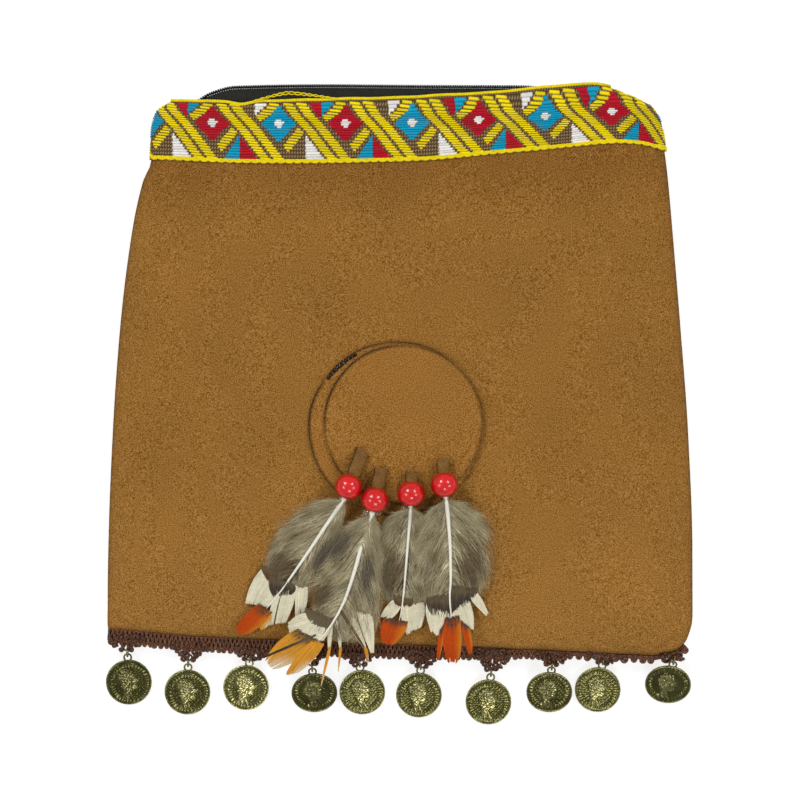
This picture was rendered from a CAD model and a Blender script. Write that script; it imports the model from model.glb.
"""Looks of a feathered folk pouch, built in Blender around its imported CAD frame.

The pouch lies on its back: +X runs to the right, +Y from the coin trim to the zipped mouth and +Z
out of the front. Sizes are in millimetres (mm) and become metres when a mesh is written.
"""

import logging
import math
from dataclasses import dataclass, field
from enum import Enum
from typing import Any, Callable, NamedTuple

import bmesh
import bpy
import numpy as np
from mathutils import Matrix, Vector


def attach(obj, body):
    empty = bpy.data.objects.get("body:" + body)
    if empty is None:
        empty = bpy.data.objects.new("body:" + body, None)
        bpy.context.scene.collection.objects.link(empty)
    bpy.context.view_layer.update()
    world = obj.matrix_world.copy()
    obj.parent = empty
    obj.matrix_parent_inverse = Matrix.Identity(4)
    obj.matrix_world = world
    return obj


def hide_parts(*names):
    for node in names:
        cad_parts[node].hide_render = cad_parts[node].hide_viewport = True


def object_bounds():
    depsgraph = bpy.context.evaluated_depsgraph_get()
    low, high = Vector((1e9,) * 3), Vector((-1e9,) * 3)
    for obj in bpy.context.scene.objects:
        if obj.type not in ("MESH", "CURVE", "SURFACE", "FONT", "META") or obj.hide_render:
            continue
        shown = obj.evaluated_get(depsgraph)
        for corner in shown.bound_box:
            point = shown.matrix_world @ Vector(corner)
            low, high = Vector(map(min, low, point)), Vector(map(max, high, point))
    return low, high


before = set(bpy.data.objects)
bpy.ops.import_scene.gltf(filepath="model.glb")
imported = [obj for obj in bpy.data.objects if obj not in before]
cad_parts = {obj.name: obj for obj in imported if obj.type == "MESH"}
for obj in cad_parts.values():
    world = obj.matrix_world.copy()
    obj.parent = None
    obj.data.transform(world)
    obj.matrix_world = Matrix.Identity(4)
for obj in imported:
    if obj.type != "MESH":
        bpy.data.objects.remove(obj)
CAD_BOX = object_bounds()

Array = np.ndarray
Mesh = bpy.types.Mesh
Object = bpy.types.Object
Pair = tuple[float, float]

LOG = logging.getLogger("pouch")
MM = 0.001
BODY = "root"
TINT = "tint"
STEP = 1e-3
UP = np.array([0.0, 0.0, 1.0])
ROUND = 2 * math.pi
DARKEST = 0.003
WHITE = (1.0, 1.0, 1.0, 1.0)


def linear(red: int, green: int, blue: int) -> Array:
    """Turns an 8-bit display colour into linear light."""
    share = np.array((red, green, blue)) / 255.0
    return np.where(share <= 0.04045, share / 12.92, ((share + 0.055) / 1.055) ** 2.4)


def dye(red: int, green: int, blue: int) -> Any:
    """Gives a dataclass field that starts as a display colour in linear light."""
    return field(default_factory=lambda: linear(red, green, blue))


def lerp(start: Array, end: Array, share: Array) -> Array:
    """Mixes two values by a share."""
    return start + (end - start) * share


def smoothstep(value: Array, low: float, high: float) -> Array:
    """Rises smoothly from 0 at low to 1 at high."""
    share = np.clip((np.asarray(value, float) - low) / (high - low), 0.0, 1.0)
    return share * share * (3.0 - 2.0 * share)


def quarter_rise(distance: Array, reach: Array) -> Array:
    """Rises over a quarter of an ellipse from 0 to 1 within reach."""
    return np.sqrt(1.0 - (1.0 - np.clip(distance / reach, 0.0, 1.0)) ** 2)


def unit(vectors: Array) -> Array:
    """Scales vectors to length one."""
    return vectors / np.maximum(np.linalg.norm(vectors, axis=-1, keepdims=True), 1e-12)


def between(value: Array, span: Pair) -> Array:
    """Tells which values lie inside a span."""
    return (value > span[0]) & (value < span[1])


def walked(line: Array) -> Array:
    """Measures how far along a line each of its points lies."""
    return np.concatenate([[0.0], np.cumsum(np.linalg.norm(np.diff(line, axis=0), axis=1))])


def turned(dx: Array, dy: Array, degrees: float) -> tuple[Array, Array]:
    """Gives offsets along and across a direction in plan."""
    cos, sin = math.cos(math.radians(degrees)), math.sin(math.radians(degrees))
    return dx * cos + dy * sin, dy * cos - dx * sin


def carried(points: Array, pose: Array) -> Array:
    """Moves points into a pose, whose columns are three axes and an origin."""
    return points @ pose[:, :3].T + pose[:, 3]


def rotation(turn: float, tilt: float) -> Array:
    """Gives a rotation that tilts about X and then turns about Z, both in radians."""
    return np.array(Matrix.Rotation(turn, 3, "Z") @ Matrix.Rotation(tilt, 3, "X"))


def circle(count: int) -> Array:
    """Gives even angles round a circle."""
    return np.linspace(0, ROUND, count, endpoint=False)


def headings(paths: Array, closed: bool) -> Array:
    """Gives the directions of many paths.

    Args:
        paths: places, indexed by path, station and axis.
        closed: whether each path runs back into its start.

    Returns:
        Directions of length one, indexed alike.
    """
    if closed:
        return unit(np.roll(paths, -1, axis=1) - np.roll(paths, 1, axis=1))
    padded = np.concatenate([paths[:, :1], paths, paths[:, -1:]], axis=1)
    return unit(padded[:, 2:] - padded[:, :-2])


def wander(x: Array, y: Array, pitch: float, seed: float) -> Array:
    """Gives a smooth random field between about -1 and 1.

    Args:
        x: places across, in mm.
        y: places up, in mm.
        pitch: typical distance between two crests, in mm.
        seed: phase that sets one field apart from another.

    Returns:
        One value for each place.
    """
    total = np.zeros(np.broadcast(x, y).shape)
    for turn in range(5):
        angle = seed * 1.7 + turn * 2.399
        rate = (0.75 + 0.16 * turn) * 2.0 * math.pi / pitch
        along = x * math.cos(angle) + y * math.sin(angle)
        total = total + np.sin(along * rate + seed * 5.1 + turn * 1.3)
    return total / 3.2


def mottled(points: Array, share: float, pitch: float, seed: float) -> Array:
    """Gives each point a brightness that wanders round 1 by a share, on a last axis for colours."""
    return 1 + share * wander(points[:, 0], points[:, 1], pitch, seed)[:, None]


class SmoothTable:
    """A curve through rows of numbers that never overshoots them, with one column for each quantity."""

    def __init__(self, rows: dict[float, tuple[float, ...]]) -> None:
        """Keeps the rows and works out their tangents.

        Args:
            rows: values for each knot, in rising order.
        """
        self.knots = np.array(list(rows))
        self.values = np.array(list(rows.values()), float)
        slopes = np.diff(self.values, axis=0) / np.diff(self.knots)[:, None]
        before, after = slopes[:-1], slopes[1:]
        even = before * after > 0
        inner = np.where(even, 2 * before * after / np.where(even, before + after, 1.0), 0.0)
        self.tangents = np.vstack([slopes[:1], inner, slopes[-1:]])

    def __call__(self, at: Array) -> Array:
        """Reads the curve.

        Args:
            at: places between the first and the last knot.

        Returns:
            All columns, on a new last axis.
        """
        at = np.clip(np.asarray(at, float), self.knots[0], self.knots[-1])
        low = np.clip(np.searchsorted(self.knots, at, side="right") - 1, 0, len(self.knots) - 2)
        span = (self.knots[low + 1] - self.knots[low])[..., None]
        t = (at - self.knots[low])[..., None] / span
        bend = t * (1 - t) ** 2 * self.tangents[low] + t * t * (t - 1) * self.tangents[low + 1]
        return lerp(self.values[low], self.values[low + 1], t * t * (3 - 2 * t)) + span * bend


class Dent(NamedTuple):
    """A soft hollow in the front panel."""

    x: float
    y: float
    length: float
    width: float
    turn: float
    depth: float


@dataclass
class PouchSurface:
    """Outer faces of the pouch over c, the share from left to right, and s, from bottom seam to mouth.

    The columns of sides are x and y at the left and at the right. Those of heights are the top at the
    left and at the right, the crown, and the seam at the left and at the right. Those of shoulders
    are the rounding's reach at the left and at the right.
    """

    sides: SmoothTable = SmoothTable({
        0.0: (-117.2, -91.6, 102.0, -102.4), 0.015: (-117.4, -89.0, 110.0, -100.6),
        0.04: (-117.4, -84.0, 115.2, -95.6), 0.08: (-117.4, -76.0, 117.4, -87.0),
        0.2: (-117.0, -52.0, 117.4, -60.0), 0.4: (-115.4, -12.0, 115.8, -14.0),
        0.6: (-112.4, 30.0, 112.6, 30.0), 0.78: (-107.6, 68.0, 109.4, 68.0),
        0.87: (-103.2, 88.0, 107.6, 88.0), 0.905: (-100.0, 95.6, 106.6, 96.5),
        0.96: (-99.0, 110.0, 104.0, 111.0), 0.985: (-97.0, 115.5, 100.5, 117.0),
        1.0: (-91.5, 119.2, 84.0, 124.6)})
    heights: SmoothTable = SmoothTable({
        0.0: (9.0, 11.0, 1.2, 5.6, 7.0), 0.5: (9.5, 10.0, 2.0, 4.6, 5.0),
        0.9: (10.0, 12.5, 0.6, 5.2, 6.4), 1.0: (10.5, 14.0, 0.0, 5.6, 7.4)})
    shoulders: SmoothTable = SmoothTable({
        0.0: (12.0, 16.0), 0.5: (14.0, 14.0), 0.9: (12.0, 18.0), 1.0: (12.0, 20.0)})
    bottom_bow: SmoothTable = SmoothTable({
        0.0: (0.0,), 0.17: (-1.4,), 0.54: (-0.6,), 0.86: (0.0,), 1.0: (0.0,)})
    mouth_bow: SmoothTable = SmoothTable({
        0.0: (0.0,), 0.18: (-1.2,), 0.52: (-1.6,), 0.75: (-0.6,), 0.95: (1.4,), 1.0: (0.0,)})
    dents: tuple[Dent, ...] = (
        Dent(90, 76, 16, 7, -8, 0.9), Dent(92, 48, 20, 6, 4, 1.0), Dent(-40, 82, 22, 8, 28, 0.7),
        Dent(-72, -18, 30, 7, -14, 0.8), Dent(40, 60, 34, 8, 6, 0.5), Dent(62, -30, 26, 8, -16, 0.5))
    seam_gap: float = 0.7
    arc_span: float = 0.2
    hem_share: float = 0.055
    back_curl: float = 7.0
    back_hem_share: float = 0.035
    back_lift: float = 1.3
    back_lift_shares: Pair = (0.87, 0.9)
    rounds: int = 20

    def plan(self, c: Array, s: Array) -> Array:
        """Gives places in plan.

        Args:
            c: shares from left to right.
            s: shares from bottom seam to mouth.

        Returns:
            x and y on a new last axis.
        """
        rows = self.sides(s)
        bow = lerp(self.bottom_bow(c)[..., 0], self.mouth_bow(c)[..., 0], s)
        x = lerp(rows[..., 0], rows[..., 2], c)
        return np.stack([x, lerp(rows[..., 1], rows[..., 3], c) + bow], axis=-1)

    def width(self, s: Array) -> Array:
        """Gives the pouch's width at a share of its height."""
        rows = self.sides(s)
        return rows[..., 2] - rows[..., 0]

    def seam_height(self, c: Array, s: Array) -> Array:
        """Gives the height of the middle between the two panels at the seam."""
        rows = self.heights(s)
        return lerp(rows[..., 3], rows[..., 4], c)

    def dent_depth(self, x: Array, y: Array) -> Array:
        """Adds up the hollows.

        Args:
            x: places across, in mm.
            y: places up, in mm.

        Returns:
            Depths in mm.
        """
        total = np.zeros(np.shape(x))
        for dent in self.dents:
            along, over = turned(x - dent.x, y - dent.y, dent.turn)
            total = total + dent.depth * np.exp(-((along / dent.length) ** 2) - (over / dent.width) ** 2)
        return total

    def front(self, c: Array, s: Array) -> Array:
        """Gives the front panel's outer face.

        Args:
            c: shares from left to right.
            s: shares from bottom seam to mouth.

        Returns:
            Points in mm.
        """
        c, s = np.broadcast_arrays(np.asarray(c, float), np.asarray(s, float))
        place, rows, arcs = self.plan(c, s), self.heights(s), self.shoulders(s)
        crown = 4 * c * (1 - c) * rows[..., 2]
        top = lerp(rows[..., 0], rows[..., 1], c) + crown - self.dent_depth(place[..., 0], place[..., 1])
        rise = quarter_rise(c * self.width(s), arcs[..., 0]) * quarter_rise(s, self.hem_share)
        rise = rise * quarter_rise((1 - c) * self.width(s), arcs[..., 1])
        z = lerp(self.seam_height(c, s) + self.seam_gap / 2, top, rise)
        return np.concatenate([place, z[..., None]], axis=-1)

    def back(self, c: Array, s: Array) -> Array:
        """Gives the back panel's outer face.

        Args:
            c: shares from left to right.
            s: shares from bottom seam to mouth.

        Returns:
            Points in mm.
        """
        c, s = np.broadcast_arrays(np.asarray(c, float), np.asarray(s, float))
        rise = quarter_rise(np.minimum(c, 1 - c) * self.width(s), self.back_curl)
        rise = rise * quarter_rise(s, self.back_hem_share)
        floor = self.back_lift * smoothstep(s, *self.back_lift_shares)
        z = lerp(self.seam_height(c, s) - self.seam_gap / 2, floor, rise)
        return np.concatenate([self.plan(c, s), z[..., None]], axis=-1)

    def eased(self, walk: Array) -> Array:
        """Turns an even walk round a quarter of an arc into the share of its reach."""
        return 1 - np.cos(np.clip(walk / self.arc_span, 0, 1) * math.pi / 2)

    def across(self, p: Array, s: Array) -> Array:
        """Evens out a walk across the front, round both shoulders.

        Args:
            p: even shares of the walk.
            s: shares from bottom seam to mouth.

        Returns:
            Shares from left to right.
        """
        arcs = self.shoulders(s) / self.width(s)[..., None]
        left, right = arcs[..., 0], arcs[..., 1]
        middle = lerp(left, 1 - right, (p - self.arc_span) / (1 - 2 * self.arc_span))
        right_part = np.where(p > 1 - self.arc_span, 1 - right * self.eased(1 - p), middle)
        return np.where(p < self.arc_span, left * self.eased(p), right_part)

    def upward(self, q: Array) -> Array:
        """Turns even shares of a walk up the front, round the hem, into shares of its height."""
        flat = lerp(self.hem_share, 1.0, (q - self.arc_span) / (1 - self.arc_span))
        return np.where(q < self.arc_span, self.hem_share * self.eased(q), flat)

    def shares_at(self, x: Array, y: Array) -> tuple[Array, Array]:
        """Finds places in plan on the panels by Newton's steps.

        Args:
            x: places across, in mm.
            y: places up, in mm.

        Returns:
            Shares c and s.
        """
        c, s = np.full(np.shape(x), 0.5), np.full(np.shape(x), 0.5)
        for _ in range(self.rounds):
            here = self.plan(c, s)
            over = (self.plan(c + STEP, s) - here) / STEP
            step = np.where(s > 0.5, -STEP, STEP)
            up = (self.plan(c, s + step) - here) / step[..., None]
            miss_x, miss_y = x - here[..., 0], y - here[..., 1]
            det = over[..., 0] * up[..., 1] - over[..., 1] * up[..., 0]
            c = np.clip(c + (miss_x * up[..., 1] - miss_y * up[..., 0]) / det, 0.0, 1.0)
            s = np.clip(s + (over[..., 0] * miss_y - over[..., 1] * miss_x) / det, 0.0, 1.0)
        return c, s

    def front_height(self, x: Array, y: Array) -> Array:
        """Gives the height of the front's top at places in plan, carried on below the hem."""
        c, s = self.shares_at(x, y)
        return self.front(c, np.maximum(s, self.hem_share))[..., 2]


SURFACE = PouchSurface()


# Mesh helpers
def paint(mesh: Mesh, colours: Array) -> None:
    """Writes one linear colour for each vertex to the tint attribute.

    Args:
        mesh: mesh to paint.
        colours: one colour, or one for each vertex.
    """
    layer = mesh.color_attributes.new(TINT, "FLOAT_COLOR", "POINT")
    rgba = np.ones((len(mesh.vertices), 4), np.float32)
    rgba[:, :3] = colours
    layer.data.foreach_set("color", rgba.ravel())


def coordinates(mesh: Mesh) -> Array:
    """Reads a mesh's vertices back in millimetres."""
    return np.array([vert.co for vert in mesh.vertices]) / MM


def write(name: str, bm: bmesh.types.BMesh, points: Array | None = None) -> Mesh:
    """Turns a bmesh into a smooth mesh and frees it.

    Args:
        name: mesh name.
        bm: the bmesh, in metres.
        points: new places of its vertices, in mm.

    Returns:
        The mesh.
    """
    if points is not None:
        for vert, point in zip(bm.verts, points * MM):
            vert.co = point
    mesh = bpy.data.meshes.new(name)
    bm.to_mesh(mesh)
    bm.free()
    mesh.shade_smooth()
    return mesh


def grid_mesh(name: str, columns: int, rows: int,
              shape: Callable[[Array, Array], Array]) -> Mesh:
    """Bends a flat grid onto a surface.

    Args:
        name: mesh name.
        columns: faces along u.
        rows: faces along v.
        shape: gives points in millimetres for shares u and v.

    Returns:
        The bent grid, with u and v as its UV map.
    """
    bm = bmesh.new()
    bm.loops.layers.uv.new("cut")
    bmesh.ops.create_grid(bm, x_segments=columns, y_segments=rows, size=0.5, calc_uvs=True)
    shares = np.array([vert.co[:2] for vert in bm.verts]) + 0.5
    return write(name, bm, shape(shares[:, 0], shares[:, 1]))


def spun_mesh(name: str, profile: list[Pair], steps: int,
              bend: Callable[[Array], Array]) -> Mesh:
    """Spins a profile about Z and bends the result.

    Args:
        name: mesh name.
        profile: radius and height rows in millimetres, from the underside round to the top.
        steps: faces round the axis.
        bend: moves the spun points, in mm.

    Returns:
        The closed mesh.
    """
    bm = bmesh.new()
    verts = [bm.verts.new((radius * MM, 0.0, height * MM)) for radius, height in profile]
    edges = [bm.edges.new(pair) for pair in zip(verts, verts[1:])]
    bmesh.ops.spin(bm, geom=verts + edges, axis=(0, 0, 1), cent=(0, 0, 0), angle=2 * math.pi,
                   steps=steps, use_merge=True)
    bmesh.ops.remove_doubles(bm, verts=bm.verts, dist=1e-7)
    bmesh.ops.recalc_face_normals(bm, faces=bm.faces)
    return write(name, bm, bend(np.array([vert.co for vert in bm.verts]) / MM))


def repeated_mesh(name: str, points: Array, faces: list[tuple[int, ...]]) -> Mesh:
    """Joins many copies of one small four-sided mesh.

    Args:
        name: mesh name.
        points: millimetres, indexed by copy, vertex and axis.
        faces: four corners of each face of one copy.

    Returns:
        One mesh with all copies.
    """
    count, size = points.shape[:2]
    corners = np.array(faces)[None] + size * np.arange(count)[:, None, None]
    mesh = bpy.data.meshes.new(name)
    mesh.from_pydata(points.reshape(-1, 3) * MM, [], corners.reshape(-1, 4))
    mesh.shade_smooth()
    return mesh


def strip_faces(stations: int, across: int) -> list[tuple[int, ...]]:
    """Lists the faces of an open strip of stations, each with some points across."""
    return [(i * across + j, i * across + j + 1, (i + 1) * across + j + 1, (i + 1) * across + j)
            for i in range(stations - 1) for j in range(across - 1)]


def tube_faces(stations: int, sides: int, closed: bool) -> list[tuple[int, ...]]:
    """Lists the faces of a tube of rings; an open tube has capped ends.

    Args:
        stations: rings along the tube.
        sides: points round a ring.
        closed: whether the last ring joins the first.

    Returns:
        Four corners of each face.
    """
    faces = []
    for i in range(stations if closed else stations - 1):
        here, ahead = i * sides, ((i + 1) % stations) * sides
        for j in range(sides):
            k = (j + 1) % sides
            faces.append((here + j, here + k, ahead + k, ahead + j))
    if not closed:
        last = (stations - 1) * sides
        for j in range(1, sides - 2, 2):
            faces.append((0, j + 2, j + 1, j))
            faces.append((last, last + j, last + j + 1, last + j + 2))
    return faces


def tube_points(paths: Array, radius: Array | float, sides: int, closed: bool) -> Array:
    """Sweeps a round section along many paths at once.

    Args:
        paths: millimetres, indexed by path, station and axis.
        radius: one radius, or one for each path and station.
        sides: even number of points round the section.
        closed: whether each path runs back into its start.

    Returns:
        Points indexed by path, ring point and axis.
    """
    tangent = headings(paths, closed)
    helper = np.where(np.abs(tangent[:, :1, 2:]) > 0.9, np.array([1.0, 0, 0]), UP)
    side = np.zeros_like(paths)
    last = unit(np.cross(tangent[:, 0], helper[:, 0]))
    for i in range(paths.shape[1]):
        last = unit(last - np.sum(last * tangent[:, i], axis=-1, keepdims=True) * tangent[:, i])
        side[:, i] = last
    over = np.cross(tangent, side)
    angle = circle(sides)
    reach = np.broadcast_to(np.asarray(radius, float), paths.shape[:2])[..., None, None]
    ring = side[:, :, None] * np.cos(angle)[:, None] - over[:, :, None] * np.sin(angle)[:, None]
    return (paths[:, :, None] + reach * ring).reshape(len(paths), -1, 3)


def tubes_mesh(name: str, paths: Array, radius: Array | float, sides: int = 6,
               closed: bool = False) -> Mesh:
    """Joins many swept tubes into one mesh."""
    faces = tube_faces(paths.shape[1], sides, closed)
    return repeated_mesh(name, tube_points(paths, radius, sides, closed), faces)


def joined(name: str, meshes: list[Mesh]) -> Mesh:
    """Joins painted meshes into one and removes the single ones.

    Args:
        name: name of the joined mesh.
        meshes: painted meshes.

    Returns:
        The joined mesh.
    """
    bm = bmesh.new()
    for mesh in meshes:
        bm.from_mesh(mesh)
        bpy.data.meshes.remove(mesh)
    return write(name, bm)


def show(name: str, data: bpy.types.ID) -> Object:
    """Adds an object to the scene.

    Args:
        name: object name.
        data: its mesh, camera or light.

    Returns:
        The object.
    """
    made = bpy.data.objects.new(name, data)
    bpy.context.scene.collection.objects.link(made)
    return made


def place(mesh: Mesh, finish: "Finish", slot: "Slot", *nodes: str) -> Object:
    """Shows a mesh as a piece of the pouch.

    Args:
        mesh: mesh in its final place.
        finish: its surface.
        slot: the record's material slot.
        nodes: CAD nodes that the piece stands for.

    Returns:
        The new object.
    """
    piece = show(mesh.name, mesh)
    mesh.materials.append(finish.material())
    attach(piece, BODY)
    if nodes:
        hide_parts(*nodes)
    LOG.info("%s: %d faces", piece.name, len(mesh.polygons))
    return piece


def thicken(piece: Object, wall: float, offset: float = -1.0) -> None:
    """Gives a sheet its wall in millimetres, behind the face with an offset of -1 and round it with 0."""
    shell = piece.modifiers.new("wall", "SOLIDIFY")
    shell.thickness, shell.offset = wall * MM, offset


# Finishes
class Slot(Enum):
    """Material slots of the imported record."""

    SUEDE = "suede"
    RIBBON = "ribbon"
    ZIP = "zip"
    LACE = "lace"
    BEAD = "bead"
    FEATHER = "feather"
    BRAID = "braid"
    BRASS = "brass"


class NodeBench:
    """Adds nodes to one node tree and links them."""

    def __init__(self, tree: bpy.types.NodeTree) -> None:
        """Keeps the tree."""
        self.tree = tree

    def add(self, kind: str, inputs: dict | None = None, **settings: object) -> bpy.types.Node:
        """Adds one shader node.

        Args:
            kind: node type without its ShaderNode prefix.
            inputs: socket name or number, with a value or an output socket to link.
            settings: properties of the node.

        Returns:
            The node.
        """
        node = self.tree.nodes.new("ShaderNode" + kind)
        for key, value in settings.items():
            setattr(node, key, value)
        self.feed(node, inputs or {})
        return node

    def feed(self, node: bpy.types.Node, inputs: dict) -> None:
        """Sets a node's inputs, or links them where the value is an output socket."""
        for key, value in inputs.items():
            if isinstance(value, bpy.types.NodeSocket):
                self.tree.links.new(value, node.inputs[key])
            else:
                node.inputs[key].default_value = value

    def math(self, operation: str, first: object, second: object = 0.0) -> bpy.types.NodeSocket:
        """Adds a Math node and gives its output."""
        return self.add("Math", {0: first, 1: second}, operation=operation).outputs[0]


def new_group(name: str, inputs: dict[str, str], outputs: dict[str, str]) -> bpy.types.NodeTree:
    """Makes an empty shader node group with named sockets.

    Args:
        name: group name.
        inputs: socket titles with their kinds.
        outputs: the same for what it puts out.

    Returns:
        The group.
    """
    group = bpy.data.node_groups.new(name, "ShaderNodeTree")
    for title, kind in inputs.items():
        group.interface.new_socket(title, in_out="INPUT", socket_type="NodeSocket" + kind)
    for title, kind in outputs.items():
        group.interface.new_socket(title, in_out="OUTPUT", socket_type="NodeSocket" + kind)
    return group


def grain_group() -> bpy.types.NodeTree:
    """Gives the shared group that varies a tint with fine grain and broad clouds.

    Returns:
        The group, made once.
    """
    found = bpy.data.node_groups.get("grain")
    if found:
        return found
    group = new_group(
        "grain",
        {"Place": "Vector", "Tint": "Color", "Fine": "Float", "Fine share": "Float",
         "Broad": "Float", "Broad share": "Float", "Fleck": "Float"},
        {"Color": "Color", "Height": "Float", "Cloud": "Float"})
    bench = NodeBench(group)
    given = group.nodes.new("NodeGroupInput").outputs
    made = group.nodes.new("NodeGroupOutput")
    fine = bench.add("TexNoise", {"Vector": given["Place"], "Scale": given["Fine"],
                                  "Detail": 3.0, "Roughness": 0.62})
    broad = bench.add("TexNoise", {"Vector": given["Place"], "Scale": given["Broad"],
                                   "Detail": 2.0, "Roughness": 0.5})
    parts = []
    for noise, share in ((fine, "Fine share"), (broad, "Broad share")):
        centred = bench.math("SUBTRACT", noise.outputs[0], 0.5)
        parts.append(bench.math("MULTIPLY", centred, given[share]))
    factor = bench.math("ADD", bench.math("ADD", parts[0], parts[1]), 1.0)
    varied = bench.add("VectorMath", {0: given["Tint"], "Scale": factor}, operation="SCALE")
    fleck = bench.math("MULTIPLY", bench.math("SUBTRACT", fine.outputs[0], 0.5), given["Fleck"])
    greyed = bench.add("VectorMath", {0: varied.outputs[0], 1: fleck}, operation="ADD")
    kept = bench.add("VectorMath", {0: greyed.outputs[0], 1: (DARKEST,) * 3}, operation="MAXIMUM")
    bench.feed(made, {"Color": kept.outputs[0], "Height": fine.outputs[0], "Cloud": broad.outputs[0]})
    return group


@dataclass(frozen=True)
class Finish:
    """A surface whose colour comes from the piece's tint, varied by grain.

    The grain's scales, fine and broad, each have a share of the colour. The bump is in millimetres.
    """

    name: str
    roughness: float
    fine: float
    fine_share: float
    broad: float
    broad_share: float
    bump: float
    coat: float = 0.0
    coat_roughness: float = 0.04
    metallic: float = 0.0
    rough_share: float = 0.1
    transmission: float = 0.0
    ribs: float = 0.0
    specular: float = 0.5
    fleck: float = 0.0

    def material(self) -> bpy.types.Material:
        """Gives the finish's material, made once."""
        return bpy.data.materials.get(self.name) or self.make()

    def make(self) -> bpy.types.Material:
        """Builds the material's nodes.

        Returns:
            The material.
        """
        material = bpy.data.materials.new(self.name)
        material.use_nodes = True
        bench = NodeBench(material.node_tree)
        shader = material.node_tree.nodes["Principled BSDF"]
        where = bench.add("TexCoord").outputs["Object"]
        tint = bench.add("Attribute", attribute_name=TINT, attribute_type="GEOMETRY").outputs["Color"]
        grain = bench.add("Group", node_tree=grain_group())
        bench.feed(grain, {"Place": where, "Tint": tint, "Fine": self.fine, "Fine share": self.fine_share,
                           "Broad": self.broad, "Broad share": self.broad_share, "Fleck": self.fleck})
        height = grain.outputs["Height"]
        if self.ribs:
            twill = bench.add("TexWave", {"Vector": where, "Scale": self.ribs, "Distortion": 0.6,
                                          "Detail": 1.0}, bands_direction="DIAGONAL")
            height = bench.math("ADD", height, twill.outputs["Fac"])
        bump = bench.add("Bump", {"Strength": 1.0, "Distance": self.bump * MM, "Height": height})
        rough = bench.math("MULTIPLY", bench.math("SUBTRACT", grain.outputs["Cloud"], 0.5), self.rough_share)
        bench.feed(shader, {
            "Base Color": grain.outputs["Color"], "Roughness": bench.math("ADD", rough, self.roughness),
            "Normal": bump.outputs[0], "Metallic": self.metallic, "Specular IOR Level": self.specular,
            "Coat Weight": self.coat, "Coat Roughness": self.coat_roughness,
            "Transmission Weight": self.transmission})
        return material


SUEDE_NAP = Finish("suede_nap", 0.95, 2200, 3.0, 45, 0.1, 0.25, specular=0.1, fleck=0.2)
RIBBON_YARN = Finish("ribbon_yarn", 0.72, 1500, 0.5, 120, 0.15, 0.06, ribs=420, specular=0.15)
RIBBON_GROUND = Finish("ribbon_ground", 0.85, 1800, 0.9, 90, 0.2, 0.12, ribs=600, specular=0.1)
ZIP_TAPE = Finish("zip_tape", 0.8, 1400, 1.6, 80, 0.2, 0.1, ribs=700, specular=0.1)
ZIP_NYLON = Finish("zip_nylon", 0.5, 900, 0.2, 60, 0.1, 0.02, specular=0.15)
LACE_NAP = Finish("lace_nap", 0.95, 1500, 1.6, 120, 0.4, 0.25, specular=0.1)
BEAD_LACQUER = Finish("bead_lacquer", 0.34, 600, 0.3, 320, 0.8, 0.02, coat=1.0, specular=0.3)
PLUME_BARB = Finish("plume_barb", 0.78, 1300, 0.5, 200, 0.3, 0.03, specular=0.15)
QUILL_HORN = Finish("quill_horn", 0.4, 700, 0.15, 150, 0.15, 0.03, coat=0.2)
BRAID_YARN = Finish("braid_yarn", 0.3, 2200, 1.0, 160, 0.6, 0.1, ribs=900, specular=0.45)
OLD_BRASS = Finish("old_brass", 0.24, 900, 0.5, 220, 0.6, 0.05, metallic=1.0, rough_share=0.3)
CLEAR_GLUE = Finish("clear_glue", 0.08, 400, 0.05, 100, 0.05, 0.05, transmission=0.92)


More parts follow.
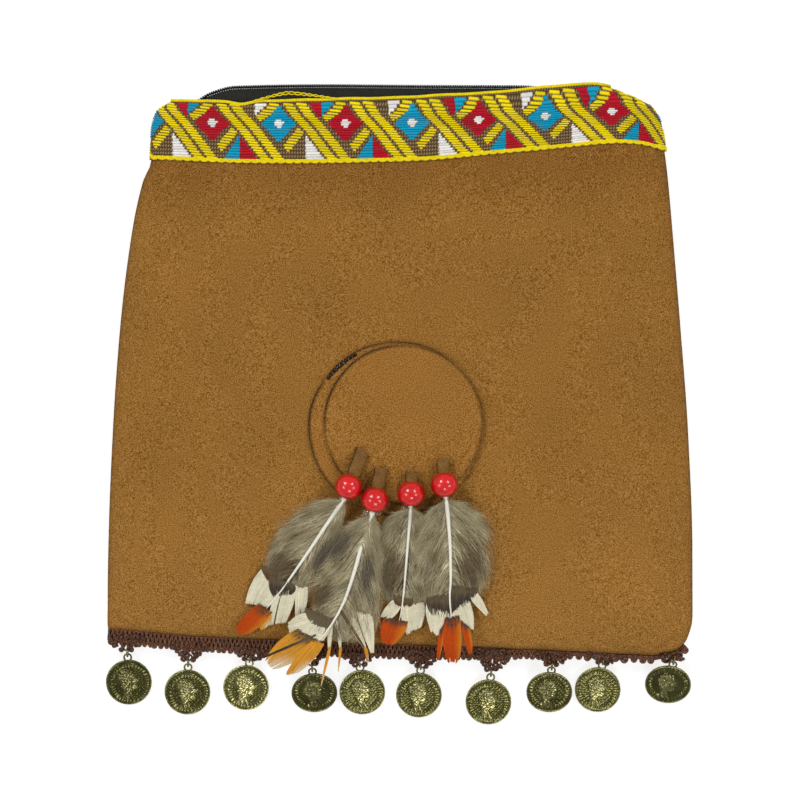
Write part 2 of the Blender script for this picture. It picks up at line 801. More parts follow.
# Suede pouch
@dataclass
class SuedePouch:
    """Front and back panels of the pouch, sewn round the sides and the bottom."""

    wall: float = 1.2
    front_grid: tuple[int, int] = (160, 140)
    back_grid: tuple[int, int] = (100, 90)
    height: float = 216.0
    pucker: float = 0.6
    pucker_pitch: float = 7.5
    pucker_inset: float = 5.0
    pucker_reach: float = 4.5
    swell: float = 0.12
    swell_pitch: float = 34.0
    swell_inset: float = 12.0
    stitch_pitch: float = 4.6
    stitch_pull: float = 0.35
    stitch_reach: float = 2.5
    seam_share: float = 0.55
    seam_reach: float = 1.0
    hem_reach: float = 0.006
    cut: Pair = (0.262, 0.245)
    cut_share: float = 0.85
    middle: Array = dye(148, 104, 46)
    low: Array = dye(155, 110, 51)
    under_ribbon: Array = dye(137, 94, 39)
    seam: Array = dye(96, 64, 26)

    def front_shape(self, u: Array, v: Array) -> Array:
        """Gives the front with its puckered seams.

        Args:
            u: shares of the cut's width.
            v: shares of its height.

        Returns:
            Points in mm.
        """
        s = SURFACE.upward(v)
        c = SURFACE.across(u, s)
        points = SURFACE.front(c, s)
        x, y = points[:, 0].copy(), points[:, 1].copy()
        side = np.minimum(c, 1 - c) * SURFACE.width(s)
        edge = np.minimum(side, s * self.height)
        near = np.exp(-((edge - self.pucker_inset) / self.pucker_reach) ** 2)
        points[:, 2] += self.pucker * near * wander(x, y, self.pucker_pitch, 2.0)
        broad = quarter_rise(edge, self.swell_inset)
        points[:, 2] += self.swell * wander(x, y, self.swell_pitch, 5.0) * broad
        sewn = np.exp(-((side / self.stitch_reach) ** 2)) * smoothstep(s, 0.03, 0.08)
        pull = np.sin(y / self.stitch_pitch * ROUND + 1.5 * np.sin(y / 9.0))
        points[:, 0] += self.stitch_pull * sewn * (pull - 1.0) * np.where(c < 0.5, -1.0, 1.0)
        return points

    def back_shape(self, u: Array, v: Array) -> Array:
        """Gives the back, seen from behind."""
        s = SURFACE.upward(v)
        return SURFACE.back(SURFACE.across(1 - u, s), s)

    def dress(self, mesh: Mesh) -> None:
        """Paints a panel: darker under the ribbon and along the seams.

        Args:
            mesh: a panel's mesh.
        """
        points = coordinates(mesh)
        c, s = SURFACE.shares_at(points[:, 0], points[:, 1])
        colour = lerp(self.low, self.middle, smoothstep(s, 0.05, 0.45)[:, None])
        colour = lerp(colour, self.under_ribbon, smoothstep(s, 0.78, 0.9)[:, None])
        edge = np.minimum(c, 1 - c) * SURFACE.width(s)
        shade = np.maximum(np.exp(-edge / self.seam_reach), np.exp(-s / self.hem_reach))
        colour = lerp(colour, self.seam, self.seam_share * shade[:, None])
        paint(mesh, colour * mottled(points, 0.05, 48.0, 7.0))

    def build(self) -> None:
        """Makes both panels."""
        for side, grid, shape in (("front", self.front_grid, self.front_shape),
                                  ("back", self.back_grid, self.back_shape)):
            mesh = grid_mesh(f"suede_{side}", *grid, shape)
            self.dress(mesh)
            piece = place(mesh, SUEDE_NAP, Slot.SUEDE, f"{side}_panel")
            thicken(piece, self.wall)


# Ribbon
class Yarn(Enum):
    """Weft colours of the ribbon; the value is the number on the chart."""

    GROUND = 0
    YELLOW = 1
    RED = 2
    TEAL = 3
    WHITE = 4


YARN_COLOURS = np.array([linear(76, 54, 32), linear(244, 220, 4), linear(188, 18, 40),
                         linear(0, 158, 196), linear(238, 235, 230)])


@dataclass
class RibbonPath:
    """The ribbon's way round the mouth: a millimetres along it and b millimetres above its lower edge."""

    lower: SmoothTable = SmoothTable({
        0.0: (0.908,), 0.25: (0.905,), 0.5: (0.908,), 0.7: (0.918,), 0.9: (0.924,), 1.0: (0.917,)})
    width: float = 24.0
    gap: float = 0.3
    samples: int = 801
    rows: int = 13

    def __post_init__(self) -> None:
        """Measures the way round at several heights, with 0 at the front's middle."""
        self.turns = np.linspace(0.0, 2.0, self.samples)
        self.heights = np.linspace(0.0, self.width, self.rows)
        self.ways = np.stack([self.measure(height) for height in self.heights])
        self.way = self.ways[self.rows // 2]

    def measure(self, height: float) -> Array:
        """Measures one row: true lengths over the front, and the rest spread over the back.

        Args:
            height: mm above the lower edge.

        Returns:
            Millimetres along for each turn.
        """
        line = self.at_turn(self.turns, np.full_like(self.turns, height), 0.0)
        way = walked(line)
        half = self.samples // 2
        way = way - np.interp(0.0, line[:half, 0], way[:half])
        spare = way[0] + self.total() - way[half]
        share = (way[half:] - way[half]) / (way[-1] - way[half])
        return np.concatenate([way[:half], way[half] + spare * share])

    def total(self) -> float:
        """Gives the ribbon's length, measured along its middle."""
        line = self.at_turn(self.turns, np.full_like(self.turns, 0.5 * self.width), 0.0)
        return float(np.linalg.norm(np.diff(line, axis=0), axis=1).sum())

    def at_turn(self, turn: Array, b: Array, lift: Array | float) -> Array:
        """Gives points of the ribbon by turn.

        Args:
            turn: turns, 0 to 1 over the front and on to 2 over the back.
            b: mm above the lower edge.
            lift: mm off the suede.

        Returns:
            Points in mm.
        """
        on_front = turn <= 1.0
        p = np.where(on_front, turn, 2.0 - turn)
        s = self.share_up(p, b)
        here = self.face(p, s, on_front)
        inner = np.clip(p, 0.004, 0.996)
        over = self.face(inner + STEP, s, on_front) - self.face(inner - STEP, s, on_front)
        low = np.minimum(s, 1 - 2 * STEP)
        up = self.face(inner, low + STEP, on_front) - self.face(inner, low - STEP, on_front)
        normal = unit(np.cross(over, up))
        normal = np.where(on_front[..., None], normal, -normal)
        here[..., 1] += np.maximum(b - self.width, 0.0)
        return here + normal * (np.asarray(lift) + self.gap)[..., None]

    def share_up(self, p: Array, b: Array) -> Array:
        """Gives the share up the pouch of a height on the ribbon."""
        low = self.lower(SURFACE.across(p, np.full_like(p, 0.905)))[..., 0]
        return lerp(low, 1.0, np.clip(b / self.width, 0.0, 1.0))

    @staticmethod
    def face(p: Array, s: Array, on_front: Array) -> Array:
        """Gives points of the front or the back panel."""
        c = SURFACE.across(p, s)
        return np.where(on_front[..., None], SURFACE.front(c, s), SURFACE.back(c, s))

    def at(self, a: Array, b: Array, lift: Array | float) -> Array:
        """Gives points of the ribbon by length.

        Args:
            a: mm along.
            b: mm above the lower edge.
            lift: mm off the suede.

        Returns:
            Points in mm.
        """
        a, b, lift = np.broadcast_arrays(a, b, lift)
        height = np.clip(b / self.width, 0.0, 1.0) * (self.rows - 1)
        turn = np.zeros(a.shape)
        for row, way in enumerate(self.ways):
            length = way[-1] - way[0]
            rounds = np.floor((a - way[0]) / length)
            found = np.interp(a - rounds * length, way, self.turns) + 2 * rounds
            turn += np.maximum(0.0, 1 - np.abs(height - row)) * found
        return self.at_turn(turn % 2, b, lift)


@dataclass
class RibbonChart:
    """Traditional diamond border, charted over dx and dy from the middle of each diamond."""

    origin: float = -75.0
    pitch: float = 26.6
    middle_up: float = 15.4
    outline: float = 0.9
    half_wide: float = 7.3
    half_tall: float = 7.6
    slant: float = 0.82
    upper_slope: float = 0.77
    upper_bar: Pair = (6.9, 10.5)
    upper_ends: Pair = (-6.2, 7.8)
    lower_slope: float = 1.15
    lower_bar: Pair = (-15.5, -10.7)
    lower_ends: Pair = (-7.2, 6.4)
    top_split: float = -9.6
    top_from: float = 2.8
    bottom_split: float = 10.9
    bottom_white: float = 10.6
    bottom_side: Pair = (14.2, 0.72)
    bottom_to: float = -4.4
    stripes: tuple[Pair, ...] = ((7.9, 12.1), (13.2, 17.6))
    marks: tuple[Pair, ...] = (
        (2.0, 1.2), (1.2, 2.4), (0.4, 4.2), (-0.4, 3.2), (-1.2, 1.8), (-2.0, 1.6))

    def read(self, a: Array, b: float) -> Array:
        """Reads the yarn of each place along one row.

        Args:
            a: places along the ribbon.
            b: the row's height above the lower edge.

        Returns:
            The yarn's number for each place.
        """
        yarn = np.zeros(a.shape, int)
        nearest = np.round((a - self.origin) / self.pitch).astype(int)
        for shift in (-1, 1, 0):
            number = nearest + shift
            drawn = self.motif(a - self.origin - number * self.pitch, b - self.middle_up, number % 2 == 0)
            yarn = np.where(drawn > 0, drawn, yarn)
        return yarn

    def motif(self, dx: Array, dy: float, red: Array) -> Array:
        """Draws one diamond with the bands and triangles that belong to it.

        Args:
            dx: places along, from the diamond's middle.
            dy: height above it.
            red: which places belong to a red diamond.

        Returns:
            The yarn's number for each place, 0 where the ground shows.
        """
        yarn = np.zeros(dx.shape, int)
        fall = dx + self.slant * dy
        cross, over, under = dy + dx, dy - self.upper_slope * dx, dy - self.lower_slope * dx
        for span in self.stripes:
            yarn[between(fall, span)] = Yarn.YELLOW.value
        yarn[between(over, self.upper_bar) & between(cross, self.upper_ends)] = Yarn.YELLOW.value
        yarn[between(under, self.lower_bar) & between(cross, self.lower_ends)] = Yarn.YELLOW.value
        behind = self.stripes[1][1] - self.pitch
        top = (fall > behind + self.outline) & (over > self.upper_bar[1] + self.outline)
        top &= dy > self.top_from
        left, right = Yarn.RED.value, Yarn.TEAL.value
        yarn = np.where(top & red, np.where(dx < self.top_split, left, right), yarn)
        yarn = np.where(top & ~red & (dx > self.top_split), Yarn.WHITE.value, yarn)
        start, slope = self.bottom_side
        bottom = (fall < self.stripes[0][0] - self.outline) & (dx > start + slope * dy)
        bottom &= dy < self.bottom_to
        yarn = np.where(bottom & red, np.where(dx < self.bottom_split, right, left), yarn)
        yarn = np.where(bottom & ~red & (dx > self.bottom_white), Yarn.WHITE.value, yarn)
        diamond = np.abs(dx) / self.half_wide + abs(dy) / self.half_tall < 1
        yarn = np.where(diamond, np.where(red, Yarn.RED.value, Yarn.TEAL.value), yarn)
        for height, width in self.marks:
            if abs(dy - height) <= 0.4:
                yarn = np.where(np.abs(dx) < width / 2, Yarn.WHITE.value, yarn)
        return yarn


class FloatRun(NamedTuple):
    """One float of weft yarn on the ribbon's face."""

    start: float
    end: float
    up: float
    yarn: int


@dataclass
class RibbonBand:
    """Woven ribbon round the mouth: ground cloth, yarn floats, twisted selvage and looped edging."""

    path: RibbonPath
    chart: RibbonChart = field(default_factory=RibbonChart)
    wall: float = 0.35
    ground_grid: tuple[int, int] = (760, 34)
    row_pitch: float = 1.0
    first_row: float = 2.0
    last_row: float = 23.9
    float_height: float = 0.42
    band_tilt: float = -0.09
    selvage_up: float = 24.4
    dip_at: float = -63.0
    dip_reach: float = 4.5
    twist_pitch: float = 2.0
    twist_radius: float = 0.42
    picot_pitch: float = 3.4
    picot_radius: float = 0.58
    chain_up: float = 1.35
    read_pitch: float = 0.2
    float_widths: Pair = (0.98, 1.16)
    grooves: Pair = (0.75, 0.5)
    loop_span: Pair = (-58.5, -24.5)
    loop_plies: tuple[Pair, ...] = ((3.3, 0.0), (2.4, math.pi))
    loop_pitch: float = 2.4
    apex: float = 0.41
    yellow: Array = dye(238, 214, 14)
    dot: Array = dye(170, 146, 106)

    def reach(self) -> Pair:
        """Gives the ribbon's two ends, which meet at the back."""
        return float(self.path.way[0]), float(self.path.way[-1])

    def build(self) -> None:
        """Makes the ribbon's pieces."""
        ground = self.ground()
        pieces = [self.floats("front"), self.floats("back"), self.edging()]

    def ground(self) -> Object:
        """Makes the ground cloth with its tiny light dots.

        Returns:
            The ground's object.
        """
        start, end = self.reach()

        def shape(u: Array, v: Array) -> Array:
            """Bends the ground."""
            return self.path.at(lerp(start, end, u), v * self.path.width, self.wall)

        columns, rows = self.ground_grid
        mesh = grid_mesh("ribbon_ground", columns, rows, shape)
        row, column = np.divmod(np.arange(len(mesh.vertices)), columns + 1)
        dotted = ((column + row) % 2 == 0) & (row % 2 == 0)
        paint(mesh, np.where(dotted[:, None], self.dot, YARN_COLOURS[0]))
        piece = place(mesh, RIBBON_GROUND, Slot.RIBBON, "ribbon_band")
        thicken(piece, self.wall)
        return piece

    def runs(self, side: str) -> list[FloatRun]:
        """Lists the floats of half the ribbon.

        Args:
            side: front or back.

        Returns:
            The floats.
        """
        start, end = self.reach()
        half = float(np.interp(1.0, self.path.turns, self.path.way))
        low, high = (start, half) if side == "front" else (half, end)
        places = np.arange(low, high, self.read_pitch)
        found = []
        for number, up in enumerate(np.arange(self.first_row, self.last_row, self.row_pitch)):
            yarn = self.chart.read(places + self.read_pitch * (number % 2), up)
            breaks = np.flatnonzero(np.diff(yarn)) + 1
            bounds = np.concatenate([[0], breaks, [len(yarn)]])
            for first, last in zip(bounds, bounds[1:]):
                if yarn[first] and last - first > 2:
                    end_at = places[last - 1] + self.read_pitch
                    found.append(FloatRun(places[first], end_at, up, int(yarn[first])))
        return found

    def floats(self, side: str) -> Object:
        """Makes the yarn floats of one side, each a low arched strip.

        Args:
            side: front or back.

        Returns:
            The floats' object.
        """
        runs = self.runs(side)
        rows = np.array([(run.start, run.end, run.up) for run in runs])
        yarn = np.array([run.yarn for run in runs])
        along = np.array([0.0, 0.12, 0.5, 0.88, 1.0])
        arch = np.array([0.0, 0.85, 1.0, 0.85, 0.0])
        width = np.array([-0.42, -0.2, 0.2, 0.42])
        crown = np.array([0.0, 1.0, 1.0, 0.0])
        band = (yarn == Yarn.YELLOW.value)[:, None, None]
        a = lerp(rows[:, :1], rows[:, 1:2], along)[:, :, None] + 0.0 * width
        tilt = np.where(band, self.band_tilt, 0.0) * (a - rows[:, :2].mean(axis=1)[:, None, None])
        b = rows[:, 2][:, None, None] + self.row_pitch * np.where(band, *self.float_widths) * width + tilt
        lift = self.wall + self.float_height * arch[:, None] * crown + 0.0 * a
        points = self.path.at(a, b, lift).reshape(len(rows), -1, 3)
        mesh = repeated_mesh(f"ribbon_floats_{side}", points, strip_faces(len(along), len(width)))
        mesh.flip_normals()
        shade = 1.0 + 0.1 * np.sin(rows[:, 0] * 12.9 + rows[:, 2] * 7.3)
        groove = np.where(yarn == Yarn.WHITE.value, *self.grooves)[:, None, None]
        dull = np.where(crown > 0.5, 1.0, groove) * np.where(arch > 0.5, 1.0, 0.7)[:, None]
        colour = YARN_COLOURS[yarn][:, None, :] * (shade[:, None] * dull.reshape(len(rows), -1))[..., None]
        paint(mesh, np.clip(colour.reshape(-1, 3), 0, 1))
        return place(mesh, RIBBON_YARN, Slot.RIBBON)

    def edging(self) -> Object:
        """Makes the twisted upper selvage, its loose loop and the looped lower edge.

        Returns:
            The edging's object.
        """
        start, end = self.reach()
        way = np.arange(start + 1, end - 1, 0.5)
        dip = np.exp(-(((way - self.dip_at) / self.dip_reach) ** 2))
        slack = dip + 0.15 * wander(way, 0.0, 17.0, 8.0)
        plies = []
        for phase in (0.0, math.pi):
            turn = way / self.twist_pitch * ROUND + phase
            plies.append(self.path.at(way, self.selvage_up - slack + 0.28 * np.cos(turn),
                                      self.wall - 0.1 + 0.2 * np.sin(turn)))
        meshes = [tubes_mesh("selvage", np.stack(plies), self.twist_radius)]
        count = int((end - start - 2) / self.picot_pitch)
        middle = start + 1 + self.picot_pitch * (np.arange(count) + 0.5)
        bow = np.linspace(-1, 1, 9)
        a = middle[:, None] + 0.5 * self.picot_pitch * 0.98 * bow
        b = 0.5 + 0.6 * np.abs(bow) ** 2.2 + 0.0 * a
        lift = self.wall - 0.15 + 0.1 * (1 - bow**2) + 0.0 * a
        meshes.append(tubes_mesh("picots", self.path.at(a, b, lift), self.picot_radius))
        chain = self.path.at(way, np.full_like(way, self.chain_up), self.wall + 0.05)
        swell = 0.42 + 0.1 * np.sin(way / 0.9 * math.pi)
        meshes.append(tubes_mesh("edge_chain", chain[None], swell[None]))
        meshes.append(self.loose_loop())
        for mesh in meshes:
            paint(mesh, np.clip(self.yellow * mottled(coordinates(mesh), 0.08, 3.1, 3.0), 0, 1))
        return place(joined("ribbon_edging", meshes), RIBBON_YARN, Slot.RIBBON)

    def loose_loop(self) -> Mesh:
        """Makes the length of selvage that has come off the edge over the zip.

        Returns:
            The loop's mesh.
        """
        way = np.linspace(*self.loop_span, 90)
        share = (way - way[0]) / (way[-1] - way[0])
        away = np.where(share < self.apex, 1 - share / self.apex, (share - self.apex) / (1 - self.apex))
        rise = 1 - away**1.25
        plies = []
        for reach, phase in self.loop_plies:
            turn = way / self.loop_pitch * ROUND + phase
            path = self.path.at(way, np.full_like(way, self.selvage_up), self.wall + 0.5)
            path[:, 1] += reach * rise + 0.15 * np.cos(turn)
            path[:, 2] += 0.6 * rise + 0.15 * np.sin(turn)
            plies.append(path)
        return tubes_mesh("loose_loop", np.stack(plies), 0.22)


# Zip
@dataclass
class ZipClosure:
    """Closed zip in the mouth: two tapes, a nylon coil, its sewing and the slider."""

    line: tuple[tuple[float, float, float], ...] = (
        (-88, 112.5, 6.2), (-82, 118.5, 6.4), (-76, 122.4, 6.6), (-66, 125, 6.8), (-30, 125.6, 7),
        (10, 125.3, 7), (48, 125.2, 7), (66, 122.8, 7.2), (76, 117.5, 7.4), (81, 111, 7.4))
    coil_radius: float = 0.85
    wire: float = 0.33
    coil_pitch: float = 0.95
    tape_wall: float = 0.7
    tape_inset: float = 2.0
    tape_rows: Pair = (0.94, 0.97)
    tape_walk: Pair = (0.22, 0.73)
    tape_coil: Pair = (0.07, 0.87)
    tape_hung: float = 0.6
    stitch_pitch: float = 0.95
    stitch_span: Pair = (0.08, 0.88)
    stitch_long: float = 0.18
    stitch_radius: float = 0.17
    plate: tuple[float, float, float] = (9.0, 6.4, 0.9)
    cut: Pair = (0.02, 0.19)
    cut_share: float = 0.79
    black: Array = dye(14, 16, 15)
    cloth: Array = dye(46, 47, 43)
    thread: Array = dye(222, 232, 228)

    def __post_init__(self) -> None:
        """Measures the coil's line."""
        points = np.array(self.line, float)
        way = walked(points)
        self.length = float(way[-1])
        self.curve = SmoothTable(dict(zip(way, points)))

    def along(self, share: Array) -> tuple[Array, Array]:
        """Gives points of the coil's line and the level direction into the pouch.

        Args:
            share: shares of the line.

        Returns:
            Points in millimetres and unit directions.
        """
        way = np.asarray(share) * self.length
        tangent = self.curve(way + 0.05) - self.curve(way - 0.05)
        inward = np.stack([tangent[..., 1], -tangent[..., 0], np.zeros_like(way)], axis=-1)
        return self.curve(way), unit(inward)

    def build(self) -> None:
        """Makes the zip's pieces."""
        tapes = [self.tape("zip_tape_front", True), self.tape("zip_tape_back", False)]
        self.coil()
        self.slider()

    def tape(self, node: str, on_front: bool) -> Object:
        """Makes one tape, from the panel's inside up to the coil.

        Args:
            node: CAD node of the tape.
            on_front: whether it hangs from the front panel.

        Returns:
            The tape's object.
        """
        sign = 1.0 if on_front else -1.0

        def shape(u: Array, v: Array) -> Array:
            """Bends the tape.

            Args:
                u: shares along the tape.
                v: shares from the panel to the coil.

            Returns:
                Points in mm.
            """
            walk = u if on_front else 1 - u
            p = lerp(*self.tape_walk, walk)
            s = lerp(*self.tape_rows, np.clip(v / self.tape_hung, 0, 1))
            flags = np.full(p.shape, on_front)
            face = RibbonPath.face
            normal = unit(np.cross(face(p + STEP, s, flags) - face(p - STEP, s, flags),
                                   face(p, s + STEP, flags) - face(p, s - STEP, flags)))
            hung = face(p, s, flags) - sign * self.tape_inset * normal
            ends, inward = self.along(lerp(*self.tape_coil, walk))
            ends = ends + 0.6 * inward + sign * 0.65 * UP
            return lerp(hung, ends, np.clip((v - self.tape_hung) / (1 - self.tape_hung), 0, 1)[:, None])

        mesh = grid_mesh(f"{node}_cloth", 150, 14, shape)
        paint(mesh, self.cloth)
        piece = place(mesh, ZIP_TAPE, Slot.ZIP, node)
        thicken(piece, self.tape_wall, 0.0)
        return piece

    def coil(self) -> None:
        """Makes the nylon coil and the pale sewing beside it."""
        turns = int(self.length / self.coil_pitch)
        share = np.linspace(0.005, 0.995, turns * 9)
        middle, inward = self.along(share)
        angle = np.linspace(0, ROUND * turns, len(share))[:, None]
        helix = middle + self.coil_radius * (np.cos(angle) * inward + np.sin(angle) * UP)
        meshes = [tubes_mesh("coil", helix[None], self.wire), tubes_mesh("core", middle[None, ::6], 0.5)]
        for mesh in meshes:
            paint(mesh, self.black)
        low, high = self.stitch_span
        starts = np.linspace(low, high, int((high - low) * self.length / self.stitch_pitch))
        dash = np.linspace(0.0, self.stitch_long / self.length, 4)
        points, inward = self.along(starts[:, None] + dash)
        hump = np.array([1.1, 1.3, 1.3, 1.1])[None, :, None] * UP
        sewing = tubes_mesh("sewing", points + 0.4 * inward + hump, self.stitch_radius, 4)
        paint(sewing, self.thread)
        place(joined("zip_teeth", meshes + [sewing]), ZIP_NYLON, Slot.ZIP, "zip_coil")

    def slider(self) -> None:
        """Makes the slider: two rounded plates joined by a post."""
        bm = bmesh.new()
        length, width, thick = self.plate
        for size, at in (((length, width, thick), (0, 0, 1.95)), ((length, width, thick), (0, 0, -1.95)),
                         ((1.8, width / 2, 4.8), (length / 2 - 1.8, 0, 0))):
            turn = Matrix.Translation(Vector(at)) @ Matrix.Diagonal((*size, 1.0))
            made = bmesh.ops.create_cube(bm, size=1.0, matrix=turn)["verts"]
            edges = list({edge for vert in made for edge in vert.link_edges})
            bmesh.ops.bevel(bm, geom=edges, offset=0.3, affect="EDGES", segments=2, profile=0.5, material=-1)
        end, ahead = np.array(self.line[-1]), np.array(self.line[-1]) - np.array(self.line[-2])
        heading = math.atan2(ahead[1], ahead[0])
        bmesh.ops.translate(bm, verts=bm.verts, vec=(length / 2 - 4.5, 0, 0))
        spot = Matrix.Translation(Vector(end * MM)) @ Matrix.Rotation(heading, 4, "Z") @ Matrix.Scale(MM, 4)
        bmesh.ops.transform(bm, matrix=spot, verts=bm.verts)
        mesh = write("zip_runner", bm)
        paint(mesh, self.black)
        place(mesh, ZIP_NYLON, Slot.ZIP, "zip_slider")


# Discs
@dataclass
class SuedeDisc:
    """A round suede patch that lies on the front."""

    node: str
    x: float
    y: float
    radius: float
    lift: float
    wall: float = 1.1
    face: Array = dye(154, 107, 48)
    rim: Array = dye(58, 36, 14)

    def build(self) -> None:
        """Makes the disc as a spun plate bent to the front."""
        rings = np.linspace(0.0, 1.0, 26)
        under = [(ring * (self.radius - 0.1), 0.0) for ring in rings]
        side = [(self.radius, 0.25), (self.radius, self.wall - 0.25)]
        over = [(ring * (self.radius - 0.15), self.wall) for ring in rings[::-1]]
        mesh = spun_mesh(f"{self.node}_suede", under + side + over, 120, self.bend)
        points = coordinates(mesh)
        away = np.hypot(points[:, 0] - self.x, points[:, 1] - self.y)
        facing = np.arctan2(points[:, 1] - self.y, points[:, 0] - self.x)
        edge = smoothstep(away, self.radius - 0.6, self.radius - 0.1) * (0.72 + 0.28 * np.cos(facing - 2.6))
        paint(mesh, lerp(self.face, self.rim, edge[:, None]) * mottled(points, 0.04, 26.0, 4.0))
        piece = place(mesh, SUEDE_NAP, Slot.SUEDE, self.node)

    def bend(self, points: Array) -> Array:
        """Moves the flat disc onto the front, with a slightly uneven cut.

        Args:
            points: places on the flat disc, in mm.

        Returns:
            Points in mm.
        """
        angle = np.arctan2(points[:, 1], points[:, 0])
        uneven = 1 + 0.006 * np.sin(3 * angle + self.x) + 0.004 * np.sin(7 * angle)
        x, y = points[:, 0] * uneven + self.x, points[:, 1] * uneven + self.y
        return np.stack([x, y, points[:, 2] + SURFACE.front_height(x, y) + self.lift], axis=1)


# Feather drops
class Plume(Enum):
    """Colours on the feathers, as display values."""

    DOWN = (118, 106, 76)
    PALE = (212, 202, 168)
    BROWN = (100, 86, 64)
    DARK = (66, 57, 47)
    SLATE = (98, 90, 74)
    WHITE = (220, 213, 184)
    ORANGE = (186, 70, 2)
    GOLD = (206, 142, 42)
    HORN = (244, 240, 224)
    UMBER = (92, 64, 36)

    @property
    def colour(self) -> Array:
        """The colour in linear light."""
        return linear(*self.value)


class Zone(NamedTuple):
    """A patch of colour on a vane: its middle, half-length, half-width, turn in degrees and colour."""

    x: float
    y: float
    long: float
    wide: float
    turn: float
    shade: Plume


class Tuft(NamedTuple):
    """A smooth lock at a feather's end, whose barbs run between two root and two tip corners in plan."""

    shade: Plume
    root_a: Pair
    root_b: Pair
    tip_a: Pair
    tip_b: Pair
    root_shade: Plume | None = None
    lift: float = 1.75


class Shaft(NamedTuple):
    """A feather's shaft: radius at the bead and at the tip, and the share where it comes out of the down."""

    near: float
    far: float
    shown_from: float


@dataclass
class FeatherDrop:
    """A lace, a lacquered bead and a feather that hang from the discs.

    Each of the feather's rows holds the shaft's x and y and the vane's reach to its left and right.
    """

    number: int
    bead_x: float
    bead_y: float
    lean: float
    lace_reach: float
    lace_fall: float
    layer: int
    rows: tuple[tuple[float, float, float, float], ...]
    tufts: tuple[Tuft, ...]
    zones: tuple[Zone, ...]
    shaft: Shaft
    down_end: float
    rest_height: float = 3.1
    bead_radius: float = 5.5
    bead_half: float = 4.8
    bead_hole: float = 1.9
    lace_width: float = 4.8
    lace_neck: float = 3.6
    lace_wall: float = 1.4
    lace_grid: tuple[int, int] = (14, 44)
    down_grid: tuple[int, int] = (16, 70)
    stations: int = 6
    tuft_stations: int = 7
    barb_half: float = 0.14
    hair_half: float = 0.06
    tuft_half: float = 0.16
    tuft_pitch: float = 0.05
    quill_sides: int = 8
    lock_count: int = 150
    barb_count: int = 4200
    hair_count: int = 1700
    lace_colour: Array = dye(124, 90, 48)
    bead_colour: Array = dye(214, 3, 14)

    def __post_init__(self) -> None:
        """Spaces the feather's rows evenly and seeds its random numbers."""
        last = len(self.rows) - 1
        self.table = SmoothTable({k / last: row for k, row in enumerate(self.rows)})
        self.quill_end = 1 / last
        self.settled = 3 / last
        self.random = np.random.default_rng(40 + self.number)
        low = float(SURFACE.front_height(self.bead_x, self.bead_y)) + self.rest_height
        self.bead_z = low + self.bead_radius

    def build(self) -> None:
        """Makes the drop's pieces."""
        self.lace()
        self.bead()
        self.feather()

    def lace(self) -> None:
        """Makes the suede lace from inside the bead to its cut free end."""
        lean = math.radians(self.lean)

        def shape(u: Array, v: Array) -> Array:
            """Bends the lace.

            Args:
                u: shares across the lace.
                v: shares from the bead to the cut end.

            Returns:
                Points in mm.
            """
            side = 2 * u - 1
            slant = 0.7 * side * (-1) ** self.number * smoothstep(v, 0.6, 1.0)
            reach = lerp(0.6, self.lace_reach, v) + slant - 0.5 * np.abs(side) ** 8 * smoothstep(v, 0.9, 1.0)
            fall = smoothstep(reach, 3.6, self.lace_reach) * self.lace_fall
            width = lerp(self.lace_neck, self.lace_width, smoothstep(reach, 4.4, 5.6))
            off = 0.5 * side * width * (1 + 0.05 * np.sin(reach * 0.9 + self.number))
            x = self.bead_x + math.sin(lean) * reach + math.cos(lean) * off
            y = self.bead_y + math.cos(lean) * reach - math.sin(lean) * off
            low = SURFACE.front_height(x, y) + self.rest_height + 0.5 * self.lace_wall
            return np.stack([x, y, lerp(self.bead_z, low, fall) - 0.4 * np.abs(side) ** 3], axis=1)

        columns, rows = self.lace_grid
        mesh = grid_mesh(f"lace_{self.number}", columns, rows, shape)
        side = np.tile(np.linspace(-1, 1, columns + 1), rows + 1)
        tone = mottled(coordinates(mesh), 0.16, 5.0, self.number)
        edge = 0.75 * smoothstep(-side, 0.72, 0.95) + 0.35 * smoothstep(side, 0.85, 1.0)
        paint(mesh, self.lace_colour * tone * (1 - edge)[:, None])
        piece = place(mesh, LACE_NAP, Slot.LACE, f"thong_{self.number}")
        thicken(piece, self.lace_wall, 0.0)

    def bead(self) -> None:
        """Makes the bead, mottled under its lacquer."""
        lip = self.bead_hole + 0.3
        squeeze = (self.bead_radius**2 - lip**2) / self.bead_half**2
        heights = self.bead_half * np.sin(np.linspace(-0.5, 0.5, 37) * math.pi)
        outer = [(math.sqrt(self.bead_radius**2 - squeeze * height**2), height) for height in heights]
        hole = [(self.bead_hole, self.bead_half - 0.3), (self.bead_hole, 0.3 - self.bead_half)]
        mesh = spun_mesh(f"bead_{self.number}_lacquer", outer + hole + outer[:1], 64, self.hang_bead)
        points = coordinates(mesh)
        away = np.linalg.norm(points - np.array([self.bead_x, self.bead_y, self.bead_z]), axis=1)
        tone = 1 + 0.1 * wander(points[:, 0] * 2, points[:, 1] * 2 + points[:, 2], 4.0, self.number)
        outside = smoothstep(away, 3.9, 4.6)
        rim = np.hypot(points[:, 0] - self.bead_x, points[:, 1] - self.bead_y)
        tone = tone * lerp(0.3, 1.0, outside) * (1.06 - 0.42 * smoothstep(rim, 3.6, self.bead_radius))
        paint(mesh, np.clip(self.bead_colour * tone[:, None], 0, 1))
        place(mesh, BEAD_LACQUER, Slot.BEAD, f"bead_{self.number}")

    def hang_bead(self, points: Array) -> Array:
        """Lays the upright bead's axis along the lace and moves it to its place."""
        x, y = turned(points[:, 0], points[:, 2], self.lean)
        return np.stack([x + self.bead_x, y + self.bead_y, self.bead_z - points[:, 1]], axis=1)

